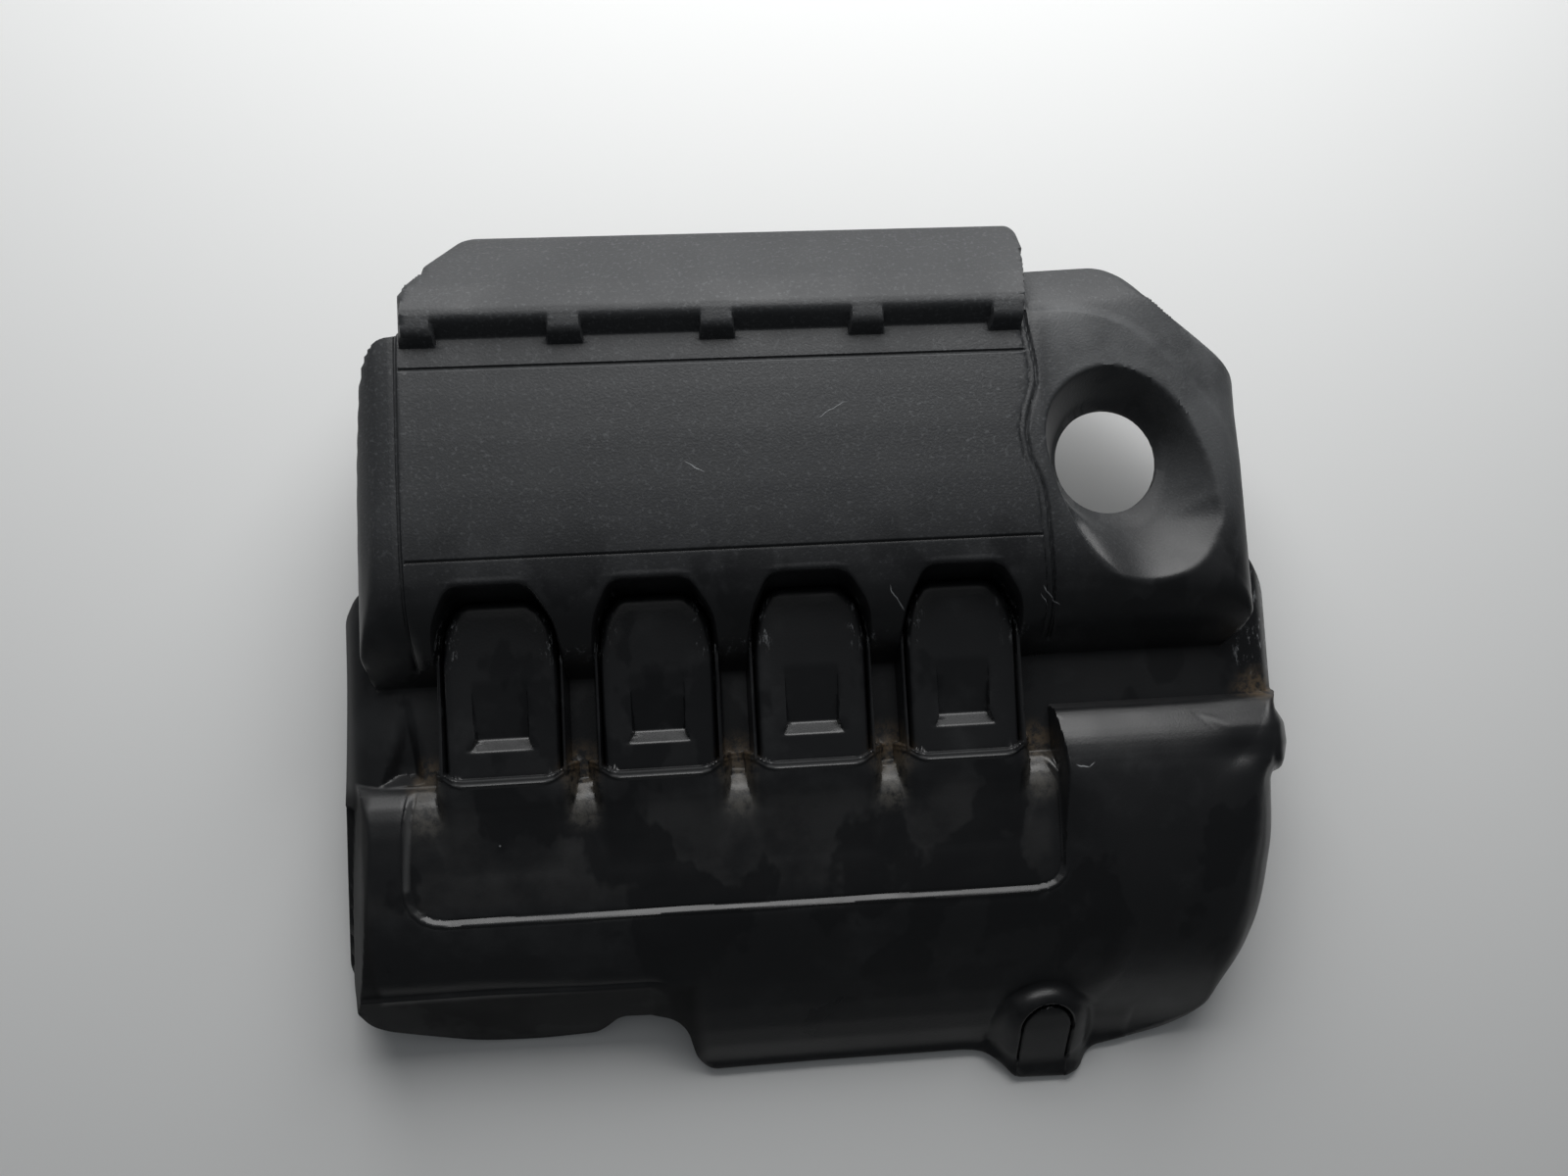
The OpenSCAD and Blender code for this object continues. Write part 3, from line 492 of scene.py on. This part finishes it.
# Where the grid runs closer, as (from, to, step): along the sides, edges, seams, tabs, tongues and bead
FINE_X = [
    (-286, -248, 1.2), (PANEL_L - 2.5, PANEL_L + 2.5, 0.5), (PANEL_L - 14, PANEL_L - 4, 0.8), (116, 153, 0.9),
    (121, 141, 0.7), (138, 150, 0.7), (140, 240, 1.6), (240, 262, 1.5), (255, 285, 1.1)]
for side in (-1, 1):
    for off, half, step in ((30, 10, 1.0), (33, 3, 0.6), (15, 3, 0.7)):
        FINE_X += [(at + side * off - half, at + side * off + half, step) for at in POCKETS]
    for i in range(5):
        at = TAB_X + (i - 2) * TAB_PITCH + side * TAB_HALF
        FINE_X.append((at - 2, at + 2, 0.8))
FINE_Y = [
    (-262, -200, 1.0), (-200, -160, 1.6), (-181, -171, 0.6), (-137, -117, 0.8), (-104, -58, 1.6),
    (-58, -42, 0.6), (-42, -25, 0.8), (-25, 30, 1.5), (30, 62, 0.9), (158, 232, 1.5), (185, 207, 0.6),
    (253, 261, 0.9)] + [
    (at - 2.5, at + 2.5, 0.5) for at in SEAM_Y]
STEP, EDGE = 2.4, 0.5


def grid(thin):
    """Every thin-th line of the plan's grid, and the cells that lie inside the rim and off the hole."""
    x = lines(-286, 286, STEP, *FINE_X)[::thin]
    y = lines(-262, 262, STEP, *FINE_Y)[::thin]
    gx, gy = np.meshgrid(x, y, indexing="ij")
    edge = EDGE if thin == 1 else WALL + 0.6
    hole = np.hypot(gx - FILLER[0], gy - FILLER[1]) - FILLER_R
    free = np.minimum(inside(gx, gy, RIM) - edge, hole - EDGE)
    ok = free > 0.35 * (1 if thin == 1 else 3)
    cells = ok[:-1, :-1] & ok[1:, :-1] & ok[:-1, 1:] & ok[1:, 1:]
    for _ in range(2):
        pad = np.pad(cells, 1)
        near = pad[:-2, 1:-1].astype(int) + pad[2:, 1:-1] + pad[1:-1, :-2] + pad[1:-1, 2:]
        cells &= near >= 2
    return gx, gy, cells


def rings(gx, gy, cells, inset):
    """Border chains of the kept cells, moved out onto the hole or onto the rim drawn in by inset."""
    placed = []
    for chain in loops(cells):
        at = np.array([(gx[i, j], gy[i, j]) for i, j in chain])
        if len(chain) < 20:
            continue
        if np.hypot(*(at[0] - FILLER)) < FILLER_R + 12:
            way = at - FILLER
            turn = np.arctan2(way[:, 1], way[:, 0])
            on = np.array(FILLER) + FILLER_R * np.stack([np.cos(turn), np.sin(turn)], 1)
            placed.append(("hole", chain, on, turn % (2 * math.pi), 2 * math.pi, on))
        else:
            on, far, total = snap(at, RIM)
            way = at - on
            way /= np.maximum(np.linalg.norm(way, axis=1), 1e-9)[:, None]
            placed.append(("rim", chain, on + inset * way, far, total, on))
    return placed


skin = Skin()


def lay(thin, surface, inset):
    """One side of the skin over the grid; returns its border rings."""
    gx, gy, cells = grid(thin)
    used = np.zeros(gx.shape, bool)
    for di in (0, 1):
        for dj in (0, 1):
            used[di : gx.shape[0] - 1 + di, dj : gx.shape[1] - 1 + dj] |= cells
    x, y = gx.copy(), gy.copy()
    found = rings(gx, gy, cells, inset)
    for _, chain, on, _, _, _ in found:
        for (i, j), (px, py) in zip(chain, on):
            x[i, j], y[i, j] = px, py
    number = -np.ones(gx.shape, int)
    z = surface(x[used], y[used])
    number[used] = skin.add(x[used], y[used], z)
    corners = np.argwhere(cells)
    i, j = corners[:, 0], corners[:, 1]
    quad = [number[i, j], number[i + 1, j], number[i + 1, j + 1], number[i, j + 1]]
    if thin > 1:
        quad.reverse()
    skin.faces += list(zip(*quad))
    return [
        (kind, np.array([number[i, j] for i, j in chain]), far, total, base)
        for kind, chain, _, far, total, base in found]


# The inner face reads the skin's height from a table, because it asks for it many times at each place
TABLE_STEP = 1.25
table_x, table_y = np.arange(-290, 291, TABLE_STEP), np.arange(-266, 267, TABLE_STEP)
table = height(*np.meshgrid(table_x, table_y, indexing="ij"))


def nearly(x, y):
    """Height of the skin read between the places of the table."""
    i, j = (x - table_x[0]) / TABLE_STEP, (y - table_y[0]) / TABLE_STEP
    i, j = np.clip(i, 0, len(table_x) - 1.01), np.clip(j, 0, len(table_y) - 1.01)
    a, b = i.astype(int), j.astype(int)
    i, j = i - a, j - b
    near = table[a, b] * (1 - i) + table[a + 1, b] * i
    far = table[a, b + 1] * (1 - i) + table[a + 1, b + 1] * i
    return near * (1 - j) + far * j


# Places round a point where the skin is read, as (distance, drop, count): two rings on a ball of the wall's
# radius, and one beyond it that keeps steep walls thick
BALL = ((1.3, 2.25, 6), (2.4, 1, 10), (4.5, -2, 10))


def underside(x, y):
    """The skin's inner face: its height lowered by the wall, measured square to the surface."""
    low = nearly(x, y) - WALL
    for radius, off, count in BALL:
        for i in range(count):
            turn = 2 * math.pi * i / count
            px, py = x + radius * math.cos(turn), y + radius * math.sin(turn)
            low = np.minimum(low, np.where(inside(px, py, RIM) > 0.5, nearly(px, py) - off, low))
    return np.maximum(low, rim_height(y) + 0.4)


# Outer and inner face, joined round the hole and by a rim that comes down to its own height
top_rings = lay(1, height, 0.6)
under_rings = lay(3, underside, WALL)
for kind, ring, far, total, base in top_rings:
    z = np.array([skin.points[i][2] for i in ring])
    under = next(r for r in under_rings if r[0] == kind)
    if kind == "rim":
        side = skin.add(base[:, 0], base[:, 1], z - 0.7)
        foot = skin.add(base[:, 0], base[:, 1], np.minimum(rim_height(base[:, 1]), z - 0.9))
        skin.faces += [(ring[k], ring[k - 1], side[k - 1], side[k]) for k in range(len(ring))]
        skin.faces += [(side[k], side[k - 1], foot[k - 1], foot[k]) for k in range(len(ring))]
        points = np.array([skin.points[i] for i in under[1]])
        inner = skin.add(points[:, 0], points[:, 1], rim_height(points[:, 1]))
        skin.faces += [(under[1][k - 1], under[1][k], inner[k], inner[k - 1]) for k in range(len(inner))]
        skin.strip(foot, inner, far, under[2], total)
    else:
        skin.strip(ring, under[1], far, under[2], total)


def build(name, points, faces, sharp=None):
    """A mesh object from millimetres, facing outwards, smooth up to the angle sharp."""
    mesh = bpy.data.meshes.new(name)
    mesh.from_pydata([tuple(c / 1000 for c in p) for p in points], [], [tuple(map(int, f)) for f in faces])
    work = bmesh.new()
    work.from_mesh(mesh)
    bmesh.ops.dissolve_degenerate(work, edges=work.edges, dist=1e-6)
    bmesh.ops.recalc_face_normals(work, faces=work.faces)
    work.to_mesh(mesh)
    work.free()
    thing = bpy.data.objects.new(name, mesh)
    bpy.context.scene.collection.objects.link(thing)
    if sharp:
        for face in mesh.polygons:
            face.use_smooth = True
        mesh.set_sharp_from_angle(angle=math.radians(sharp))
    return thing


TRIANGLES = 190000
cover = build("cover_skin", skin.points, skin.faces, 50)
fewer = cover.modifiers.new("fewer", "DECIMATE")
fewer.ratio = TRIANGLES / sum(len(p.vertices) - 2 for p in cover.data.polygons)


class Value:
    """An output in a material's node tree, which the usual signs join to others."""

    def __init__(self, tree, socket):
        self.tree, self.socket = tree, socket

    def node(self, kind, settings, inputs, out=0):
        made = self.tree.nodes.new(kind)
        for name, value in settings.items():
            setattr(made, name, value)
        for name, value in inputs.items():
            if isinstance(value, Value):
                self.tree.links.new(value.socket, made.inputs[name])
            else:
                made.inputs[name].default_value = value
        return Value(self.tree, made.outputs[out])

    def math(self, kind, *others):
        return self.node("ShaderNodeMath", {"operation": kind}, dict(enumerate((self,) + others)))

    def __add__(self, other):
        return self.math("ADD", other)

    def __sub__(self, other):
        return self.math("SUBTRACT", other)

    def __mul__(self, other):
        return self.math("MULTIPLY", other)

    def __rsub__(self, other):
        return (self * -1) + other

    __radd__, __rmul__ = __add__, __mul__

    def ramp(self, low, high):
        """0 below low, 1 above high, smooth between them."""
        return self.node(
            "ShaderNodeMapRange", {"interpolation_type": "SMOOTHSTEP"},
            {"Value": self, "From Min": low, "From Max": high})


def material(name):
    """A new material, its shader node and its object coordinates."""
    made = bpy.data.materials.new(name)
    made.use_nodes = True
    tree = made.node_tree
    shader = tree.nodes["Principled BSDF"]
    place = Value(tree, tree.nodes.new("ShaderNodeTexCoord").outputs["Object"])
    return made, shader, place


def noise(place, size, detail=3, rough=0.5, stretch=(1, 1, 1)):
    """Noise with features of about size metres."""
    moved = place.node("ShaderNodeMapping", {}, {"Vector": place, "Scale": stretch})
    return place.node(
        "ShaderNodeTexNoise", {}, {"Vector": moved, "Scale": 1 / size, "Detail": detail, "Roughness": rough})


def tint(share, a, b):
    """Colour a, with the share of colour b laid over it."""
    return share.node("ShaderNodeMix", {"data_type": "RGBA"}, {0: share, 6: a, 7: b}, 2)


def link(shader, name, value):
    value.tree.links.new(value.socket, shader.inputs[name])


def around(place, x, y, z, near, far):
    """1 within near millimetres of a spot, 0 beyond far."""
    spot = (x / 1000, y / 1000, z / 1000)
    off = place.node("ShaderNodeVectorMath", {"operation": "DISTANCE"}, {0: place, 1: spot}, 1)
    return off.ramp(far / 1000, near / 1000)


def scratch(x, y, start, end, wide, bend):
    """A scratch between two places in the plan, wide millimetres across and a little wavy."""
    length = math.dist(start, end)
    ux, uy = (end[0] - start[0]) / length, (end[1] - start[1]) / length
    along = (x - start[0] / 1000) * ux + (y - start[1] / 1000) * uy
    off = (y - start[1] / 1000) * ux - (x - start[0] / 1000) * uy + bend
    ends = along.ramp(0, 0.003) * along.ramp(length / 1000, length / 1000 - 0.003)
    return off.math("ABSOLUTE").ramp(wide / 1000, 0) * ends


# Finish: grained and dusty on the roof, smooth and oily at the front, with brown dirt, scuffs and scratches,
# and painted shade and painted highlights on some faces and edges
BLACK, DUSTY_BLACK = (0.0090, 0.0094, 0.0103, 1), (0.0245, 0.0260, 0.0280, 1)
# OIL is real oil; the second colour of this pair is painted shade for the skirt and the left wall
OIL, PAINTED_SHADE_BLACK = (0.0045, 0.0048, 0.0055, 1), (0.002, 0.002, 0.0022, 1)
DUST, HAZE = (0.10, 0.105, 0.11, 1), (0.040, 0.042, 0.044, 1)
POD_DUST, FILM = (0.085, 0.088, 0.091, 1), (0.026, 0.026, 0.026, 1)
DIRT, PALE_DIRT = (0.082, 0.058, 0.034, 1), (0.085, 0.080, 0.070, 1)
# The first colour is wear on the cups' lips and a painted highlight on the tongues' ramps and the recess's
# bead; the second is scratches, specks and the pod's rubbed edge, and a painted highlight on the tongues'
# corners
WORN_AND_HIGHLIGHT, RAW_AND_HIGHLIGHT = (0.065, 0.066, 0.067, 1), (0.30, 0.31, 0.32, 1)
GRIME = ((-225, 8), (-137, 12), (-48, 12), (41, 14), (128, 9))
SCRATCHES = (
    ((129.5, 42), (140.5, 29.5), 0.5), ((128, 38), (134, 30), 0.35), ((146, -61), (155, -64), 0.6),
    ((154, -64), (158, -60), 0.5), ((-70, 120), (-58, 112), 0.3), ((5, 140), (22, 149), 0.3))
SPECKS = (
    (-207, -99, 72, 1.2), (-203.5, -99.5, 72, 0.9), (-183, -88, 72, 1.0), (-198, -112, 71, 0.9),
    (-196, -119, 70, 0.8), (-190, -125, 70, 1.0), (-180, -120, 70, 0.8), (268.5, -102, 50, 1.3),
    (258, -111, 52, 1.1), (227, -152, 52, 1.0))
plastic, shader, place = material("black_plastic")
shader.inputs["Specular IOR Level"].default_value = 0.42
x, y, z = [place.node("ShaderNodeSeparateXYZ", {}, {"Vector": place}, i) for i in range(3)]
cloud = noise(place, 0.045, 4, 0.6)
smear = noise(place, 0.10, 3, 0.55, (1, 0.55, 1))
wet = noise(place, 0.06, 4, 0.55, (1, 0.7, 1)).ramp(0.50, 0.54)
speckle = noise(place, 0.0022, 2, 0.6)
flecks = noise(place, 0.006, 4, 0.75)

# Roof and right pod under dust, a dull film in the recess, painted shade darkening the skirt and left wall,
# oil at the front
dusty = (y + cloud * 0.04).ramp(0.05, 0.125)
oily = (1 - dusty) * wet
pod = x.ramp(0.135, 0.15) * y.ramp(0.05, 0.15) * y.ramp(0.215, 0.19) * cloud.ramp(0.2, 0.6)
recess = (1 - dusty) * y.ramp(-0.128, -0.118) * y.ramp(-0.060, -0.075) * x.ramp(0.136, 0.130)
skirt = y.ramp(-0.174, -0.179) * x.ramp(-0.070, -0.082)
painted_shade = skirt.math("MAXIMUM", x.ramp(-0.253, -0.259) * y.ramp(-0.050, -0.062))
colour = tint(dusty, BLACK, DUSTY_BLACK)
colour = tint(dusty * speckle.ramp(0.52, 0.78) * 0.45, colour, DUST)
colour = tint(cloud.ramp(0.48, 0.72) * 0.25, colour, HAZE)
colour = tint(pod * 0.7, colour, POD_DUST)
colour = tint(recess * cloud.ramp(0.35, 0.6) * 0.5, colour, FILM)
# Painted shade: the skirt and the left wall are darkened nearly to black, standing in for the shade they lie
# in
colour = tint(painted_shade * 0.85, colour, PAINTED_SHADE_BLACK)
colour = tint(oily * 0.75, colour, OIL)

# Brown dirt where the cups meet and at the block's rear corner, pale dirt on the saddles between the cups
grime = around(place, 269, -28, 56, 6, 22)
for at, size in GRIME:
    grime = grime.math("MAXIMUM", around(place, at, -48, 66, 2, size + 8))
colour = tint(grime * flecks.ramp(0.36, 0.60) * 0.9, colour, DIRT)
aside = (x - POCKETS[2] / 1000).math("WRAP", PITCH / 2000, -PITCH / 2000).math("ABSOLUTE")
pale = aside.ramp(0.030, 0.042) * y.ramp(-0.086, -0.070) * y.ramp(-0.045, -0.058) * x.ramp(0.146, 0.138)
colour = tint(pale * flecks.ramp(0.30, 0.62) * 0.6, colour, PALE_DIRT)

# Lighter edges: the cups' lips are rubbed by hands and tools; the tongues' ramps and corners and the recess's
# left bead are painted highlights standing in for their lit faces
row = x.ramp(-0.2185, -0.2180) * x.ramp(0.1250, 0.1245)
lips = row * z.ramp(0.0792, 0.0799) * y.ramp(-0.0560, -0.0550) * y.ramp(-0.0425, -0.0440)
lips = lips * aside.ramp(0.0385, 0.0375)
ramps = row * z.ramp(0.0786, 0.0780) * y.ramp(-0.0364, -0.0358) * y.ramp(-0.0278, -0.0284)
ramps = ramps * aside.ramp(0.0176, 0.0172)
corners = row * y.ramp(0.008, 0.030) * y.ramp(0.053, 0.049) * aside.ramp(0.020, 0.026) * z.ramp(0.089, 0.086)
band = scratch(x, y, (-232.4, -57), (-235.6, -112), 2.6, 0)
worn = (lips * 0.55).math("MAXIMUM", ramps * 0.35).math("MAXIMUM", band * 0.7)
# The cups' lips get real wear here; the tongues' ramps and the recess's bead get a painted highlight
colour = tint(worn, colour, WORN_AND_HIGHLIGHT)
edge = x.ramp(0.2535, 0.2600) * y.ramp(-0.022, -0.002) * y.ramp(0.172, 0.155) * 0.75
# The tongues' corners join this mask as a painted highlight of their lit edges; the pod's edge is real
# rubbing
edge = edge.math("MAXIMUM", corners * 0.95)
rubbed_and_highlit = edge * noise(place, 0.004, 5, 0.8, (1, 0.35, 1)).ramp(0.55, 0.66)
wander = (noise(place, 0.012, 2, 0.5) - 0.5) * 0.006
marks = scratch(x, y, (41, 46), (51, 31), 0.5, wander)
for start, end, wide in SCRATCHES:
    marks = marks.math("MAXIMUM", scratch(x, y, start, end, wide, wander))
for sx, sy, sz, size in SPECKS:
    marks = marks.math("MAXIMUM", around(place, sx, sy, sz, size * 0.5, size))
# Scratches, specks and the pod's rubbed edge in a pale raw colour, with a painted highlight on the tongues'
# corners
colour = tint(rubbed_and_highlit.math("MAXIMUM", marks * 0.8), colour, RAW_AND_HIGHLIGHT)
link(shader, "Base Color", colour)
rough = 0.30 + dusty * 0.20 + smear.ramp(0.42, 0.62) * 0.10 + grime * 0.2 - oily * 0.05 + painted_shade * 0.4
link(shader, "Roughness", rough)
grain = noise(place, 0.0013, 1, 0.4)
link(shader, "Normal", grain.node(
    "ShaderNodeBump", {}, {"Height": grain * (0.3 + dusty * 0.7), "Strength": 0.35, "Distance": 0.0004}))
cover.data.materials.append(plastic)
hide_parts("cover_shell")
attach(cover, "root")

# Under the skin the same moulding has thin stiffening ribs below the roof and four boxes that are open at the
# rear, each with a slotted plate that a grommet slides into.
RIB_T, RIB_Z = 2.0, 101.0
RIB_X, RIB_SPAN_X = range(-195, 110, 60), (-237, 111)
RIB_Y, RIB_SPAN_Y = (91.5, 133.5, 175.5), (71.5, 187.5)
HOLDERS = ((-190, 140), (85, 140), (-205, -152), (134.5, -212))
BOX, BOX_T, BOX_STEPS = 16, 2, 9
PLATE, SLOT, PLATE_Z, PLATE_T = 15, 8.7, 13.0, 3.6
fittings = Skin()


def upright(left, right, foot):
    """A thin wall between two lines in the plan, from the level foot up into the skin."""
    corners = []
    for line in (left, right):
        x, y = np.array(line, float).T
        top = np.maximum(underside(x, y) + 1, foot + 0.5)
        corners += [fittings.add(x, y, x * 0 + foot), fittings.add(x, y, top)]
    low_a, top_a, low_b, top_b = corners
    for k in range(1, len(left)):
        for a, b in ((low_a, top_a), (top_a, top_b), (top_b, low_b), (low_b, low_a)):
            fittings.faces.append((a[k - 1], a[k], b[k], b[k - 1]))
    for k in (0, len(left) - 1):
        fittings.faces.append((low_a[k], top_a[k], top_b[k], low_b[k]))


def stepped(start, end, step=4):
    """A straight line in the plan with a point every few millimetres."""
    (ax, ay), (bx, by) = start, end
    n = max(1, round(math.dist(start, end) / step))
    return [(ax + (bx - ax) * k / n, ay + (by - ay) * k / n) for k in range(n + 1)]


near, far = RIB_SPAN_Y
for at in RIB_X:
    upright(stepped((at, near), (at, far)), stepped((at + RIB_T, near), (at + RIB_T, far)), RIB_Z)
near, far = RIB_SPAN_X
for at in RIB_Y:
    upright(stepped((near, at), (far, at)), stepped((near, at + RIB_T), (far, at + RIB_T)), RIB_Z)
bore = BOX - BOX_T
outer = ((-BOX, BOX), (-BOX, -BOX), (BOX, -BOX), (BOX, BOX))
inner = ((-bore, BOX), (-bore, -bore), (bore, -bore), (bore, BOX))
plate = [
    (-PLATE, -PLATE), (PLATE, -PLATE), (PLATE, BOX), (SLOT, BOX), (SLOT, -SLOT), (-SLOT, -SLOT), (-SLOT, BOX),
    (-PLATE, BOX)]
for hx, hy in HOLDERS:
    for k in range(3):
        sides = []
        for (ax, ay), (bx, by) in (outer[k : k + 2], inner[k : k + 2]):
            steps = [(i * (bx - ax) / BOX_STEPS, i * (by - ay) / BOX_STEPS) for i in range(BOX_STEPS + 1)]
            sides.append([(hx + ax + sx, hy + ay + sy) for sx, sy in steps])
        upright(*sides, 0)
    px, py = np.array(plate).T + np.array([[hx], [hy]])
    low_ring = fittings.add(px, py, px * 0 + PLATE_Z)
    top_ring = fittings.add(px, py, px * 0 + PLATE_Z + PLATE_T)
    fittings.faces += [(low_ring[k - 1], low_ring[k], top_ring[k], top_ring[k - 1]) for k in range(8)]
    for ring in (low_ring, top_ring):
        for part in ((0, 1, 4, 5), (1, 2, 3, 4), (0, 5, 6, 7)):
            fittings.faces.append(tuple(ring[k] for k in part))
ribs = build("cover_ribs", fittings.points, fittings.faces)
ribs.data.materials.append(plastic)
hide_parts("cover_shell")
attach(ribs, "root")

# The grommets are moulded rubber, matt and a little dusty, and they keep their CAD shape.
rubber, shader, place = material("grommet_rubber")
shader.inputs["Specular IOR Level"].default_value = 0.35
worn = noise(place, 0.006, 4, 0.6)
link(shader, "Base Color", tint(worn.ramp(0.4, 0.7), (0.020, 0.020, 0.021, 1), (0.045, 0.044, 0.043, 1)))
link(shader, "Roughness", 0.62 + worn * 0.2)
link(shader, "Normal", worn.node("ShaderNodeBump", {}, {"Height": worn, "Strength": 0.2, "Distance": 0.0003}))
for name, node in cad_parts.items():
    if name.startswith("grommet"):
        for place_slot in node.material_slots:
            place_slot.material = rubber

# A plain pale floor that keeps the cover's shadow, soft light from the cover's rear and a weak even world.
floor_mesh = bpy.data.meshes.new("floor")
floor_mesh.from_pydata([(-4, -4, 0), (4, -4, 0), (4, 4, 0), (-4, 4, 0)], [], [(0, 1, 2, 3)])
floor = bpy.data.objects.new("floor", floor_mesh)
bpy.context.scene.collection.objects.link(floor)
pale, shader, place = material("floor")
rays = place.node("ShaderNodeLightPath", {}, {}, "Is Camera Ray")
for kind in ("Is Glossy Ray", "Is Transmission Ray"):
    rays = rays.math("MAXIMUM", place.node("ShaderNodeLightPath", {}, {}, kind))
link(shader, "Base Color", tint(rays, (0.45, 0.46, 0.47, 1), (0.74, 0.745, 0.74, 1)))
shader.inputs["Roughness"].default_value = 0.9
shader.inputs["Specular IOR Level"].default_value = 0.2
floor_mesh.materials.append(pale)

world = bpy.data.worlds.new("world")
bpy.context.scene.world = world
world.use_nodes = True
world.node_tree.nodes["Background"].inputs["Color"].default_value = (0.9, 0.95, 1, 1)
world.node_tree.nodes["Background"].inputs["Strength"].default_value = 0.10


def lamp(name, where, aim, size, power):
    light = bpy.data.lights.new(name, "AREA")
    light.shape = "RECTANGLE"
    light.size, light.size_y, light.energy = size[0], size[1], power
    thing = bpy.data.objects.new(name, light)
    bpy.context.scene.collection.objects.link(thing)
    thing.location = where
    back = thing.location - type(thing.location)(aim)
    thing.rotation_euler = back.to_track_quat("Z", "Y").to_euler()


lamp("window", (0.05, 1.05, 0.72), (0, 0, 0.05), (1.4, 1.0), 23)
lamp("ceiling", (-0.1, 0.6, 1.6), (0, 0, 0.05), (1.6, 0.8), 1.2)

bpy.context.scene.view_settings.view_transform = "Standard"
lens = bpy.data.cameras.new("camera")
lens.lens, lens.sensor_width = 27, 36
camera = bpy.data.objects.new("camera", lens)
bpy.context.scene.collection.objects.link(camera)
turn = (
    Matrix.Rotation(math.radians(3.127), 3, "Z") @ Matrix.Rotation(math.radians(-5.064), 3, "X")
    @ Matrix.Rotation(math.radians(4.394), 3, "Y"))
camera.matrix_world = Matrix.Translation((-0.06762, -0.01091, 0.75357)) @ turn.transposed().to_4x4()
bpy.context.scene.camera = camera
